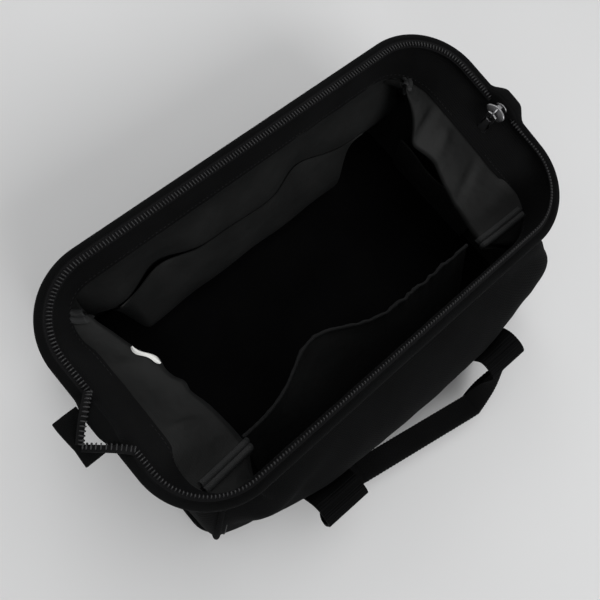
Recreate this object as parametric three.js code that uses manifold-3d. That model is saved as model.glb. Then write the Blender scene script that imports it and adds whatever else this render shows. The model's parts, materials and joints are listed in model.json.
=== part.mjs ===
// A soft tool bag whose wide mouth is held open by two hinged wire frames in its hem.
// Millimetres. X runs along the bag, -Y is the front and Z is up from the surface it stands on.
// The frames, the zip and the cloth are shown as they lie with the mouth open.
import * as THREE from 'three';
import { mergeVertices } from 'three/addons/utils/BufferGeometryUtils.js';
import Module from 'manifold-3d';

const wasm = await Module();
wasm.setup();

// Body of the bag
const baseLength = 350;
const baseWidth = 200;
const baseCornerRadius = 16;
const clothThickness = 2;
const baseClothThickness = 2.4;
const boardThickness = 3;
const boardMargin = 8;
const seamGap = 0.3;

// How far the slack long walls swell out, and how high up
const frontSwell = 39;
const frontSwellLean = 0.15;
const frontSwellRise = 1.35;
const rearSwell = 14;
const rearSwellRise = 1.2;
const longSpread = 4;

// Between its corner seams each end panel folds into the bag, deeper and lower towards the front
const endFoldShare = 0.75;
const endFoldEase = 1.6;
const endFoldIn = { left: { front: 55, rear: 25 }, right: { front: 48, rear: 22 } };
const endFoldDrop = { front: 15, rear: 2 };
const endFoldTuck = 11;
const endFoldStart = 0.62;
const endSwell = 12;
const endSwellRise = 52;
const underFoldReach = 40;
const underFoldDrop = 16;

// Mouth, its two wire frames and their hinge
const mouthLength = 356;
const mouthDepth = 172;
const mouthCornerRadius = 45;
const hingeHeight = 150;
const rearFrameRise = 4;
const frontFrameDrop = 7;
const coilToRod = 5.6;
const rodDiameter = 3;
const hemDepth = 34;
const hemCloth = 1.2;
const eyeRadius = 6;
const eyeThickness = 2.4;
const pinRadius = 2;
const pinClearance = 0.3;
const pinHeadRadius = 4.5;
const pinHeadThickness = 1.5;
const closedGap = 1;

// Zip
const tapeThickness = 0.7;
const coilWidth = 4.6;
const coilHeight = 2.6;
const tapeInside = 1.6;
const sliderLength = 18;
const sliderHeight = 10;
const sliderDepth = 8.6;
const sliderPlate = 1.6;
const pullLength = 30;
const pullWidth = 8;
const pullThickness = 1.6;
const pullBar = 2;
const pullSlot = 5.5;
const pullSlotWidth = 5;
const bailReach = 5;
const bailWireRadius = 0.9;
const tabLength = 16;
const tabWidth = 32;
const tabThickness = 3;
const tailLength = 40;
const tailWidth = 30;
const tailThickness = 2.4;

// Webbing handles
const strapWidth = 38;
const strapThickness = 2.4;
const strapSpacing = 176;
const strapHeight = 60;
const strapFoot = 9;
const strapReach = 18;
const handleDrop = 40;
const gripWidth = 20;
const gripThickness = 4.8;
const gripLength = 112;
const gripSkew = 10;

// Seams and pockets
const pipingRadius = 2.4;
const bindingWidth = 12;
const bindingThickness = 2.4;
const pocketThickness = 1.6;
const frontPocketHeight = 80;
const frontPocketLean = 32;
const frontPocketLength = 236;
const frontPocketBelly = 22;
const frontPocketBellyPlace = -33;
const frontPocketBellySpread = 36;
const elasticRadius = 1.8;
const rearPocketHeight = 72;
const rearPocketLean = 22;
const rearPocketLength = 250;
const rearPocketDivider = 58;
const rearPocketPinch = 11;
const rearPocketPinchSpread = 25;
const rightPocketHeight = 62;
const rightPocketLean = 12;
const rightPocketWidth = 96;
const labelWidth = 20;
const labelHeight = 14;
const labelThickness = 0.8;
const labelPlace = 24;
const labelRise = 3;

// Values that follow from the sizes above
const half = 0.5;
const quarterTurn = Math.PI * half;
const rodRadius = rodDiameter * half;
const hemHalf = rodRadius + seamGap + hemCloth;
const hingeLift = hemHalf + closedGap * half;
const frameLength = mouthLength * half + coilToRod;
const frameDepth = mouthDepth * half + coilToRod;
const frameCornerRadius = mouthCornerRadius + coilToRod;
const hemStart = 2 * eyeRadius;
const wallFoot = baseClothThickness + seamGap;
const boardTop = wallFoot + boardThickness;
const wallHeight = hingeHeight - hingeLift - hemDepth - wallFoot;
const cornerSide = {
  front_left: ['front', -1],
  front_right: ['front', 1],
  rear_left: ['rear', -1],
  rear_right: ['rear', 1],
};

const frameSign = { rear: 1, front: -1 };

const materials = {
  cloth: new THREE.MeshStandardMaterial({ color: 0x17181a, roughness: 0.9, metalness: 0 }),
  coated: new THREE.MeshStandardMaterial({ color: 0x2a2b2d, roughness: 0.5, metalness: 0 }),
  webbing: new THREE.MeshStandardMaterial({ color: 0x1b1c1e, roughness: 0.8, metalness: 0 }),
  zip: new THREE.MeshStandardMaterial({ color: 0x0f1011, roughness: 0.45, metalness: 0 }),
  steel: new THREE.MeshStandardMaterial({ color: 0x9a9c9f, roughness: 0.35, metalness: 1 }),
  board: new THREE.MeshStandardMaterial({ color: 0x202123, roughness: 0.6, metalness: 0 }),
  label: new THREE.MeshStandardMaterial({ color: 0xf2f2ee, roughness: 0.8, metalness: 0 }),
};

const bag = new THREE.Group();

function add(parent, name, geometry, material) {
  const mesh = new THREE.Mesh(geometry, material);
  mesh.name = name;
  parent.add(mesh);
}

// Geometry helpers

const vector = (x, y, z) => new THREE.Vector3(x, y, z);
const { lerp, smoothstep, degToRad } = THREE.MathUtils;

// Makes one closed body from shared points, with every face turned outward.
function solid(points, triangles) {
  let volume = 0;
  for (const [a, b, c] of triangles) {
    volume += points[a].dot(points[b].clone().cross(points[c]));
  }
  const index = triangles.flatMap(([a, b, c]) => (volume < 0 ? [a, c, b] : [a, b, c]));
  const geometry = new THREE.BufferGeometry();
  const places = points.flatMap((p) => p.toArray());
  geometry.setAttribute('position', new THREE.Float32BufferAttribute(places, 3));
  geometry.setIndex(index);
  geometry.computeVertexNormals();
  return geometry;
}

// Carries a flat outline along stations, each with an origin and two axes.
function sweep(outline, stations, closed = false) {
  const ring = THREE.ShapeUtils.isClockWise(outline) ? [...outline].reverse() : outline;
  const count = ring.length;
  const place = ({ origin, across, up }, p) =>
    origin.clone().addScaledVector(across, p.x).addScaledVector(up, p.y);
  const points = stations.flatMap((station) => ring.map((p) => place(station, p)));
  const triangles = [];
  const spans = closed ? stations.length : stations.length - 1;
  for (let i = 0; i < spans; i += 1) {
    const a = i * count;
    const b = ((i + 1) % stations.length) * count;
    for (let j = 0; j < count; j += 1) {
      const k = (j + 1) % count;
      triangles.push([a + j, a + k, b + k], [a + j, b + k, b + j]);
    }
  }
  if (!closed) {
    const last = points.length - count;
    for (const [p, q, r] of THREE.ShapeUtils.triangulateShape(ring, [])) {
      triangles.push([p, r, q], [last + p, last + q, last + r]);
    }
  }
  return solid(points, triangles);
}

// A small step along a patch, used to find which way it faces
const step = 0.002;

// Thickens a patch of cloth whose middle surface is at(u, v), with u and v from 0 to 1.
function shell(at, columns, rows, thickness) {
  const surface = (u, v, offset) => {
    const along = at(Math.min(u + step, 1), v).sub(at(Math.max(u - step, 0), v));
    const rise = at(u, Math.min(v + step, 1)).sub(at(u, Math.max(v - step, 0)));
    return at(u, v).addScaledVector(along.cross(rise).normalize(), offset);
  };
  const points = [];
  for (const offset of [thickness * half, -thickness * half]) {
    for (let j = 0; j <= rows; j += 1) {
      for (let i = 0; i <= columns; i += 1) {
        points.push(surface(i / columns, j / rows, offset));
      }
    }
  }
  const layer = points.length * half;
  const id = (i, j) => j * (columns + 1) + i;
  const triangles = [];
  for (let j = 0; j < rows; j += 1) {
    for (let i = 0; i < columns; i += 1) {
      const [a, b, c, d] = [id(i, j), id(i + 1, j), id(i + 1, j + 1), id(i, j + 1)];
      triangles.push([a, b, c], [a, c, d]);
      triangles.push([layer + a, layer + c, layer + b], [layer + a, layer + d, layer + c]);
    }
  }
  const rim = [];
  for (let i = 0; i < columns; i += 1) rim.push(id(i, 0));
  for (let j = 0; j < rows; j += 1) rim.push(id(columns, j));
  for (let i = columns; i > 0; i -= 1) rim.push(id(i, rows));
  for (let j = rows; j > 0; j -= 1) rim.push(id(0, j));
  rim.forEach((a, n) => {
    const b = rim[(n + 1) % rim.length];
    triangles.push([layer + a, layer + b, b], [layer + a, b, a]);
  });
  return solid(points, triangles);
}

const trimSides = 8;
const circle = (radius, sides) => Array.from({ length: sides }, (_, i) => {
  const angle = (2 * Math.PI * i) / sides;
  return new THREE.Vector2(radius * Math.cos(angle), radius * Math.sin(angle));
});

const rectangle = (left, bottom, right, top) => [
  new THREE.Vector2(left, bottom),
  new THREE.Vector2(right, bottom),
  new THREE.Vector2(right, top),
  new THREE.Vector2(left, top),
];

// Stations along points, each kept square to the path and turned so that one axis lies near the hint.
function stationsAlong(points, hint) {
  return points.map((origin, i) => {
    const next = points[Math.min(i + 1, points.length - 1)];
    const tangent = next.clone().sub(points[Math.max(i - 1, 0)]).normalize();
    const up = hint.clone().addScaledVector(tangent, -hint.dot(tangent)).normalize();
    return { origin, across: up.clone().cross(tangent), up };
  });
}

const tube = (points, radius, sides, hint) => sweep(circle(radius, sides), stationsAlong(points, hint));

// Joins or cuts closed bodies.
function toManifold(geometry) {
  const bare = geometry.clone();
  bare.deleteAttribute('normal');
  bare.deleteAttribute('uv');
  const merged = mergeVertices(bare);
  return new wasm.Manifold(new wasm.Mesh({
    numProp: 3,
    vertProperties: new Float32Array(merged.attributes.position.array),
    triVerts: new Uint32Array(merged.index.array),
  }));
}

function fromManifold(body) {
  const { vertProperties, triVerts } = body.getMesh();
  const geometry = new THREE.BufferGeometry();
  geometry.setAttribute('position', new THREE.Float32BufferAttribute(vertProperties, 3));
  geometry.setIndex(Array.from(triVerts));
  geometry.computeVertexNormals();
  return geometry;
}

const join = (...pieces) => fromManifold(pieces.map(toManifold).reduce((a, b) => a.add(b)));
const cut = (piece, ...tools) => fromManifold(
  tools.map(toManifold).reduce((a, b) => a.subtract(b), toManifold(piece)),
);

const block = (low, high) => new THREE.BoxGeometry(high.x - low.x, high.y - low.y, high.z - low.z)
  .translate((low.x + high.x) * half, (low.y + high.y) * half, (low.z + high.z) * half);

// A round bar along X between two places.
const barSides = 20;
const barAlongX = (radius, from, to) => new THREE.CylinderGeometry(radius, radius, to - from, barSides)
  .rotateZ(quarterTurn)
  .translate((from + to) * half, 0, 0);

// Walls

// A point of a rounded rectangle. On each side u runs from -1 to 1 between two corner seams.
const straightShare = 0.8;
function outlinePoint(side, u, halfLength, halfWidth, radius) {
  const long = side === 'front' || side === 'rear';
  const sign = side === 'front' || side === 'left' ? -1 : 1;
  const run = long ? halfLength : halfWidth;
  const depth = long ? halfWidth : halfLength;
  const turn = Math.max(0, (Math.abs(u) - straightShare) / (1 - straightShare)) * quarterTurn * half;
  const straight = (run - radius) * Math.min(1, Math.abs(u) / straightShare);
  const along = Math.sign(u) * (straight + radius * Math.sin(turn));
  const out = sign * (depth - radius + radius * Math.cos(turn));
  return long ? vector(along, out, 0) : vector(out, along, 0);
}

// The tilt of the open mouth: the rear frame lifts it and the front frame lets it drop.
const frameTilt = (y) => {
  const share = smoothstep(y, -hemStart, hemStart);
  return degToRad(lerp(frontFrameDrop, rearFrameRise, share));
};

// Where the lower edge of the hem hangs, which the top of each wall meets.
function hemEdge(side, u) {
  const flat = outlinePoint(side, u, frameLength, frameDepth, frameCornerRadius);
  const tilt = frameTilt(flat.y);
  const drop = hingeLift + hemDepth + seamGap + clothThickness * half;
  return vector(
    flat.x,
    flat.y * Math.cos(tilt) + drop * Math.sin(tilt),
    hingeHeight + flat.y * Math.sin(tilt) - drop * Math.cos(tilt),
  );
}

// The middle surface of a wall: u runs between the corner seams and t from the base to the hem.
const outwardAxis = {
  front: vector(0, -1, 0),
  rear: vector(0, 1, 0),
  left: vector(-1, 0, 0),
  right: vector(1, 0, 0),
};
const wallInset = clothThickness * half + seamGap;
const footLength = baseLength * half - wallInset;
const footWidth = baseWidth * half - wallInset;
const footPoint = (side, u) =>
  outlinePoint(side, u, footLength, footWidth, baseCornerRadius).setZ(wallFoot);

// A long wall swells between the base and the hem.
const swells = {
  front: { depth: frontSwell, lean: frontSwellLean, rise: frontSwellRise },
  rear: { depth: rearSwell, lean: 0, rise: rearSwellRise },
};
function longPoint(side, u, t) {
  const { depth, lean, rise } = swells[side];
  const across = (1 - Math.abs(u) ** longSpread) * (1 + lean * u);
  const swell = depth * across * Math.sin(Math.PI * t ** rise);
  return footPoint(side, u).lerp(hemEdge(side, u), t).addScaledVector(outwardAxis[side], swell);
}

// An end panel rises from the base, turns in to the ridge of its fold and runs back out to the hem.
const foldReach = outlinePoint('right', 1, frameLength, frameDepth, frameCornerRadius).y - endFoldTuck;
function endFold(side, u) {
  const rearward = ((u + 1) * half) ** endFoldEase;
  const inward = lerp(endFoldIn[side].front, endFoldIn[side].rear, rearward);
  const drop = lerp(endFoldDrop.front, endFoldDrop.rear, rearward);
  const x = outwardAxis[side].x * (footLength - inward);
  return vector(x, u * foldReach, hemEdge(side, u).z - drop);
}
function endPoint(side, u, t) {
  const foot = footPoint(side, u);
  const top = hemEdge(side, u);
  const fold = endFold(side, u);
  const out = outwardAxis[side];
  const low = foot.clone().addScaledVector(out, endSwell);
  low.z += endSwellRise;
  const under = fold.clone().addScaledVector(out, underFoldReach);
  under.z -= underFoldDrop;
  const folded = t < endFoldShare
    ? new THREE.CubicBezierCurve3(foot, low, under, fold).getPoint(t / endFoldShare)
    : fold.clone().lerp(top, (t - endFoldShare) / (1 - endFoldShare));
  return folded.lerp(foot.clone().lerp(top, t), smoothstep(Math.abs(u), endFoldStart, 1));
}
const wallPoint = (side, u, t) => (side in frameSign ? longPoint : endPoint)(side, u, t);

// A point lifted off a wall, outward where the lift is positive and into the bag where it is negative.
const outwardTurn = { front: 1, rear: -1, left: -1, right: 1 };
function offWall(side, u, t, lift) {
  const along = wallPoint(side, u + step, t).sub(wallPoint(side, u - step, t));
  const rise = wallPoint(side, u, t + step).sub(wallPoint(side, u, t - step));
  const normal = along.cross(rise).normalize();
  return wallPoint(side, u, t).addScaledVector(normal, outwardTurn[side] * lift);
}

// Walls stop short of the corner seam, where the piping runs between them.
const seamRoom = pipingRadius + seamGap;
function seamEnd(t) {
  const radius = lerp(baseCornerRadius, frameCornerRadius, t);
  const arc = radius * quarterTurn * half;
  return 1 - (seamRoom / arc) * (1 - straightShare);
}

const wallColumns = { front: 24, rear: 24, left: 20, right: 20 };
const wallRows = 12;
const wallNames = {
  front: 'front_wall',
  rear: 'rear_wall',
  left: 'left_end_panel',
  right: 'right_end_panel',
};
for (const [side, name] of Object.entries(wallNames)) {
  const at = (u, t) => wallPoint(side, (2 * u - 1) * seamEnd(t), t);
  add(bag, name, shell(at, wallColumns[side], wallRows, clothThickness), materials.cloth);
}

// Corner seams: piping outside and a bound seam fin inside, both along the same line.
const seamFoot = (pipingRadius + 2 * seamGap) / wallHeight;
const seamTop = 1 - (2 * seamGap) / wallHeight;
const seamShares = Array.from({ length: wallRows + 1 }, (_, i) => lerp(seamFoot, seamTop, i / wallRows));
const finOutline = rectangle(
  -bindingThickness * half,
  -bindingWidth * half,
  bindingThickness * half,
  bindingWidth * half,
);
for (const [corner, [side, u]] of Object.entries(cornerSide)) {
  const inwardAxis = vector(-u, -frameSign[side], 0).normalize();
  const seamPoint = (t, inward) => wallPoint(side, u, t).addScaledVector(inwardAxis, inward);
  const seamLine = (inward) => seamShares.map((t) => seamPoint(t, inward));
  const piping = tube(seamLine(0), pipingRadius, trimSides, vector(1, 0, 0));
  add(bag, `${corner}_piping`, piping, materials.cloth);
  const finCentre = pipingRadius + seamGap + bindingWidth * half;
  const finStations = stationsAlong(seamLine(finCentre).slice(1), inwardAxis);
  add(bag, `${corner}_binding`, sweep(finOutline, finStations), materials.coated);
}

// Base: cloth panel, stiffening board and the piped seam round the foot

const cornerSteps = 6;
function baseShape(inset) {
  const x = baseLength * half - inset;
  const y = baseWidth * half - inset;
  const r = Math.max(1, baseCornerRadius - inset);
  return new THREE.Shape()
    .moveTo(-x + r, -y)
    .absarc(x - r, -y + r, r, -quarterTurn, 0)
    .absarc(x - r, y - r, r, 0, quarterTurn)
    .absarc(-x + r, y - r, r, quarterTurn, Math.PI)
    .absarc(-x + r, -y + r, r, Math.PI, 3 * quarterTurn);
}
const plate = (inset, thickness, z) => new THREE.ExtrudeGeometry(baseShape(inset), {
  depth: thickness,
  bevelEnabled: false,
  curveSegments: cornerSteps,
}).translate(0, 0, z);
add(bag, 'base_panel', plate(0, baseClothThickness, 0), materials.cloth);
add(bag, 'base_board', plate(boardMargin, boardThickness, wallFoot), materials.board);

const footLine = baseShape(-(pipingRadius + seamGap)).getPoints(cornerSteps);
footLine.pop();
const footStations = footLine.map((p, i) => {
  const before = footLine[(i + footLine.length - 1) % footLine.length];
  const after = footLine[(i + 1) % footLine.length];
  const tangent = vector(after.x - before.x, after.y - before.y, 0).normalize();
  const up = vector(0, 0, 1);
  return { origin: vector(p.x, p.y, wallFoot), across: up.clone().cross(tangent), up };
});
add(bag, 'base_piping', sweep(circle(pipingRadius, trimSides), footStations, true), materials.cloth);

// Mouth frames. Each is drawn flat in its own group, which turns about the hinge line.

const frames = {};
for (const [name, angle] of [['rear', rearFrameRise], ['front', frontFrameDrop]]) {
  frames[name] = new THREE.Group();
  frames[name].position.z = hingeHeight;
  frames[name].rotation.x = degToRad(angle);
  bag.add(frames[name]);
}

// Stations round one half of the mouth from its left end to its right end, set out from the coil line.
const arcSteps = 7;
function mouthStations(frame, outset, start) {
  const sign = frameSign[frame];
  const length = mouthLength * half + outset;
  const depth = mouthDepth * half + outset;
  const radius = mouthCornerRadius + outset;
  const up = vector(0, 0, 1);
  const station = (x, y, ax, ay) => ({
    origin: vector(x, sign * y, -hingeLift),
    across: vector(ax, sign * ay, 0),
    up,
  });
  const left = [station(-length, start, -1, 0)];
  for (let i = 0; i <= arcSteps; i += 1) {
    const angle = (quarterTurn * i) / arcSteps;
    const [c, s] = [Math.cos(angle), Math.sin(angle)];
    left.push(station(-length + radius - radius * c, depth - radius + radius * s, -c, s));
  }
  const right = left.map(({ origin, across }) => ({
    origin: vector(-origin.x, origin.y, origin.z),
    across: vector(-across.x, across.y, across.z),
    up,
  }));
  return [...left, ...right.reverse()];
}

// The hem folds over the rod and its two flaps are sewn together below it.
const foldSteps = 5;
function hemOutline() {
  const flapOut = seamGap + hemCloth;
  const pinch = -2 * hemHalf;
  const over = (radius, from, to) => Array.from({ length: foldSteps + 1 }, (_, i) => {
    const angle = lerp(from, to, i / foldSteps);
    return new THREE.Vector2(radius * Math.cos(angle), radius * Math.sin(angle));
  });
  return [
    new THREE.Vector2(flapOut, -hemDepth),
    new THREE.Vector2(flapOut, pinch),
    ...over(hemHalf, 0, Math.PI),
    new THREE.Vector2(-flapOut, pinch),
    new THREE.Vector2(-flapOut, -hemDepth),
    new THREE.Vector2(-seamGap, -hemDepth),
    new THREE.Vector2(-seamGap, pinch),
    ...over(hemHalf - hemCloth, Math.PI, 0),
    new THREE.Vector2(seamGap, pinch),
    new THREE.Vector2(seamGap, -hemDepth),
  ];
}

// Each rod ends in two flat eyes that overlap the other rod's eyes on the hinge pins.
const eyeStep = (eyeThickness + 2 * seamGap) * half;
const eyeOffset = { rear: -eyeStep, front: eyeStep };
const rodSides = 10;
function frameRod(frame) {
  const sign = frameSign[frame];
  const rodStart = hemStart - eyeRadius * half;
  const pieces = [sweep(circle(rodRadius, rodSides), mouthStations(frame, coilToRod, rodStart))];
  const holes = [];
  for (const end of [-1, 1]) {
    const x = end * (frameLength + eyeOffset[frame]);
    const low = x - eyeThickness * half;
    const high = x + eyeThickness * half;
    const near = sign * pinRadius;
    const far = sign * hemStart;
    pieces.push(barAlongX(eyeRadius, low, high));
    pieces.push(block(
      vector(low, Math.min(near, far), -hingeLift - rodRadius * half),
      vector(high, Math.max(near, far), -hingeLift + rodRadius * half),
    ));
    holes.push(barAlongX(pinRadius + pinClearance, low - eyeThickness, high + eyeThickness));
  }
  return cut(join(...pieces), ...holes);
}

const tapeOut = coilToRod - hemHalf - seamGap;
const zipStart = sliderLength * half + closedGap;
const coilLow = tapeThickness + seamGap;
const coilOutline = circle(half, trimSides).map((p) =>
  new THREE.Vector2(p.x * coilWidth, coilLow + (p.y + half) * coilHeight));
for (const [frame, group] of Object.entries(frames)) {
  add(group, `${frame}_frame_rod`, frameRod(frame), materials.steel);
  const hemPath = mouthStations(frame, coilToRod, hemStart);
  add(group, `${frame}_hem`, sweep(hemOutline(), hemPath), materials.cloth);
  const zipPath = mouthStations(frame, 0, zipStart);
  const tapeOutline = rectangle(-tapeInside, 0, tapeOut, tapeThickness);
  add(group, `${frame}_zip_tape`, sweep(tapeOutline, zipPath), materials.zip);
  add(group, `${frame}_zip_coil`, sweep(coilOutline, zipPath), materials.zip);
}

// Hinge pins, riveted through both eyes at each end
const hinge = new THREE.Group();
hinge.position.z = hingeHeight;
bag.add(hinge);
const gripHalf = eyeThickness + 2 * seamGap;
const pinHalf = gripHalf + pinHeadThickness;
for (const [name, end] of [['left_hinge_pin', -1], ['right_hinge_pin', 1]]) {
  const x = end * frameLength;
  const pin = join(
    barAlongX(pinRadius, x - pinHalf, x + pinHalf),
    barAlongX(pinHeadRadius, x - pinHalf, x - gripHalf),
    barAlongX(pinHeadRadius, x + gripHalf, x + pinHalf),
  );
  add(hinge, name, pin, materials.steel);
}

// Zip ends: a folded tab past the left end, and the tail that hangs outside the right end
const pinFace = frameLength + pinHalf + seamGap;
add(hinge, 'left_zip_tab', block(
  vector(-pinFace - tabLength, -tabWidth * half, -hingeLift),
  vector(-pinFace, tabWidth * half, -hingeLift + tabThickness),
), materials.cloth);
add(hinge, 'right_zip_tail', block(
  vector(pinFace, -tailWidth * half, -tailLength),
  vector(pinFace + tailThickness, tailWidth * half, 0),
), materials.zip);

// Slider on the coil line at the right end: two oval plates on a post, with a bail for the pull
const sliderOuter = frameLength - pinHalf - seamGap;
const sliderInner = sliderOuter - sliderDepth;
const ovalPlate = (from) => new THREE.CylinderGeometry(1, 1, sliderPlate, barSides)
  .rotateZ(quarterTurn)
  .scale(1, sliderLength * half, sliderHeight * half)
  .translate(from + sliderPlate * half, 0, 0);
const bail = new THREE.TorusGeometry(bailReach, bailWireRadius, trimSides, barSides)
  .rotateX(quarterTurn)
  .translate(sliderInner, 0, 0);
const bailKeep = block(
  vector(sliderInner - 2 * bailReach, -sliderLength, -sliderLength),
  vector(sliderInner + sliderPlate * half, sliderLength, sliderLength),
);
const bailHalf = fromManifold(toManifold(bail).intersect(toManifold(bailKeep)));
const postHalf = sliderHeight * half * half;
const sliderPost = block(
  vector(sliderInner + sliderPlate * half, -postHalf, -postHalf),
  vector(sliderOuter - sliderPlate * half, postHalf, postHalf),
);
add(hinge, 'zip_slider', join(
  ovalPlate(sliderInner),
  ovalPlate(sliderOuter - sliderPlate),
  sliderPost,
  bailHalf,
), materials.steel);

// The pull hangs inside the bag from its end bar, with the bail running through its slot.
function pullShape() {
  const w = pullWidth * half;
  const slotTop = -pullBar * half;
  const shape = new THREE.Shape()
    .moveTo(-w, pullBar * half)
    .lineTo(-w, -pullLength + w)
    .absarc(0, -pullLength + w, w, Math.PI, 2 * Math.PI)
    .lineTo(w, pullBar * half);
  const slot = new THREE.Path()
    .moveTo(-pullSlotWidth * half, slotTop)
    .lineTo(pullSlotWidth * half, slotTop)
    .lineTo(pullSlotWidth * half, slotTop - pullSlot)
    .lineTo(-pullSlotWidth * half, slotTop - pullSlot);
  shape.holes.push(slot);
  return shape;
}
const pullPivot = sliderInner - bailReach * half;
const pullForm = { depth: pullThickness, bevelEnabled: false, curveSegments: cornerSteps };
const pull = new THREE.ExtrudeGeometry(pullShape(), pullForm)
  .rotateX(quarterTurn)
  .rotateZ(quarterTurn)
  .translate(pullPivot - pullThickness * half, 0, 0);
add(hinge, 'zip_pull', pull, materials.steel);

// Handles: webbing sewn up each wall, a free tongue and the loop that hangs from it

function wallShare(side, height) {
  const top = hemEdge(side, 0).z;
  return (height - wallFoot) / (top - wallFoot);
}
function longWallU(x, t) {
  const reach = lerp(footLength - baseCornerRadius, frameLength - frameCornerRadius, t);
  return (straightShare * x) / reach;
}
const sewnColumns = 4;
const sewnRows = 8;
const loopSteps = 16;
const legShare = 0.25;
const gripShare = 0.8;
const legDrop = 0.45;
const strapLift = clothThickness * half + 2 * seamGap + strapThickness * half;
for (const [side, sign] of Object.entries(frameSign)) {
  const topShare = wallShare(side, strapHeight);
  const sewnTop = wallShare(side, strapHeight - strapThickness * half - seamGap);
  for (const [end, xSign] of [['left', -1], ['right', 1]]) {
    const sewn = (u, v) => {
      const t = lerp(wallShare(side, strapFoot), sewnTop, v);
      const x = xSign * strapSpacing * half + (u - half) * strapWidth;
      return offWall(side, longWallU(x, t), t, strapLift);
    };
    const sewnStrap = shell(sewn, sewnColumns, sewnRows, strapThickness);
    add(bag, `${side}_${end}_strap_base`, sewnStrap, materials.webbing);
  }

  // The tongues reach out from the wall and turn about the line through their two roots, which
  // stands far enough out for a raised tongue to clear the swell of the wall.
  const strapU = longWallU(strapSpacing * half, topShare);
  const rootLift = strapLift + strapThickness * half + seamGap;
  const [leftRoot, rightRoot] = [-1, 1].map((end) =>
    wallPoint(side, end * strapU, topShare).y + sign * rootLift);
  const rootLine = new THREE.Group();
  rootLine.position.set(0, (leftRoot + rightRoot) * half, strapHeight);
  rootLine.rotation.z = Math.atan2(rightRoot - leftRoot, strapSpacing);
  bag.add(rootLine);
  const tip = sign * strapReach;
  for (const [end, xSign] of [['left', -1], ['right', 1]]) {
    const x = xSign * strapSpacing * half;
    add(rootLine, `${side}_${end}_strap`, block(
      vector(x - strapWidth * half, Math.min(0, tip), -strapThickness * half),
      vector(x + strapWidth * half, Math.max(0, tip), strapThickness * half),
    ), materials.webbing);
  }

  // The loop drops from the fold, narrows at its shoulders and is folded double along the grip.
  const fold = tip + sign * (seamGap + strapThickness * half);
  const halfLoop = (xSign) => Array.from({ length: loopSteps + 1 }, (_, i) => {
    const s = i / loopSteps;
    const turn = smoothstep(s, legShare, gripShare);
    const shoulder = quarterTurn * turn;
    const gripX = gripLength * half;
    const alongGrip = Math.max(0, (s - gripShare) / (1 - gripShare));
    const x = lerp(strapSpacing * half, gripX, 1 - Math.cos(shoulder)) * (1 - alongGrip);
    const straightDrop = handleDrop * legDrop * Math.min(1, s / legShare);
    const z = -lerp(straightDrop, handleDrop, Math.sin(shoulder));
    const skew = gripSkew * turn * (x / gripX) * xSign;
    return { point: vector(xSign * x, fold + sign * skew, z), turn };
  });
  const left = halfLoop(-1);
  const right = halfLoop(1).reverse().slice(1);
  const loop = [...left, ...right];
  const loopStations = loop.map(({ point, turn }, i) => {
    const next = loop[Math.min(i + 1, loop.length - 1)].point;
    const tangent = next.clone().sub(loop[Math.max(i - 1, 0)].point).normalize();
    const outward = vector(0, sign, 0);
    const inPlane = tangent.clone().cross(outward).normalize();
    const twist = turn * quarterTurn;
    const across = inPlane.multiplyScalar(Math.cos(twist)).addScaledVector(outward, Math.sin(twist));
    const up = tangent.clone().cross(across).normalize();
    return {
      origin: point,
      across: across.multiplyScalar(lerp(strapWidth, gripWidth, turn)),
      up: up.multiplyScalar(lerp(strapThickness, gripThickness, turn)),
    };
  });
  const bandOutline = rectangle(-half, -half, half, half);
  add(rootLine, `${side}_handle`, sweep(bandOutline, loopStations), materials.webbing);
}

// Pockets inside, each a cloth panel that leans away from the wall it is sewn to

const pocketFoot = boardTop + seamGap + pocketThickness * half;
function pocketPanel(side, length, height, lean, belly) {
  return (u, v) => {
    const x = lerp(-length * half, length * half, u);
    const z = lerp(pocketFoot, height, v);
    const sign = frameSign[side];
    const footY = baseWidth * half - boardMargin;
    return vector(x, sign * (footY - lean * v - belly(x) * v * v), z);
  };
}
const bump = (x, place, spread) => Math.exp(-(((x - place) / spread) ** 2));
const frontBelly = (x) => frontPocketBelly * bump(x, frontPocketBellyPlace, frontPocketBellySpread);
const frontPanel = pocketPanel('front', frontPocketLength, frontPocketHeight, frontPocketLean, frontBelly);
const pocketColumns = 18;
const pocketRows = 5;
const frontPocket = shell(frontPanel, pocketColumns, pocketRows, pocketThickness);
add(bag, 'front_inner_pocket', frontPocket, materials.coated);
const elasticSeat = vector(0, 0, elasticRadius + 3 * seamGap);
const elasticLine = Array.from({ length: pocketColumns + 1 }, (_, i) =>
  frontPanel(i / pocketColumns, 1).add(elasticSeat));
add(bag, 'front_pocket_elastic', tube(elasticLine, elasticRadius, trimSides, vector(0, 0, 1)), materials.zip);

const dividerPinch = (x) => -rearPocketPinch * bump(x, rearPocketDivider, rearPocketPinchSpread);
const rearPanel = pocketPanel('rear', rearPocketLength, rearPocketHeight, rearPocketLean, dividerPinch);
const rearPocket = shell(rearPanel, pocketColumns, pocketRows, pocketThickness);
add(bag, 'rear_inner_pocket', rearPocket, materials.coated);

const rightPanel = (u, v) => vector(
  baseLength * half - boardMargin - rightPocketLean * v,
  (u - half) * rightPocketWidth,
  lerp(pocketFoot, rightPocketHeight, v),
);
const rightPocket = shell(rightPanel, pocketColumns * half, pocketRows, pocketThickness);
add(bag, 'right_inner_pocket', rightPocket, materials.coated);

// A small blank label sewn near the rear corner of the left end
const labelLift = -((clothThickness + labelThickness) * half + 2 * seamGap);
const labelSteps = 3;
const labelAt = (u, v) => {
  const place = (labelPlace + (u - half) * labelWidth) / foldReach;
  const flap = endFold('left', place).distanceTo(hemEdge('left', place));
  const above = (labelRise + labelHeight * v) / flap;
  return offWall('left', place, lerp(endFoldShare, 1, above), labelLift);
};
add(bag, 'care_label', shell(labelAt, labelSteps, labelSteps, labelThickness), materials.label);

export default bag;
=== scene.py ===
import json
import math

import bmesh
import bpy
from mathutils import Matrix, Vector, noise


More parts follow.
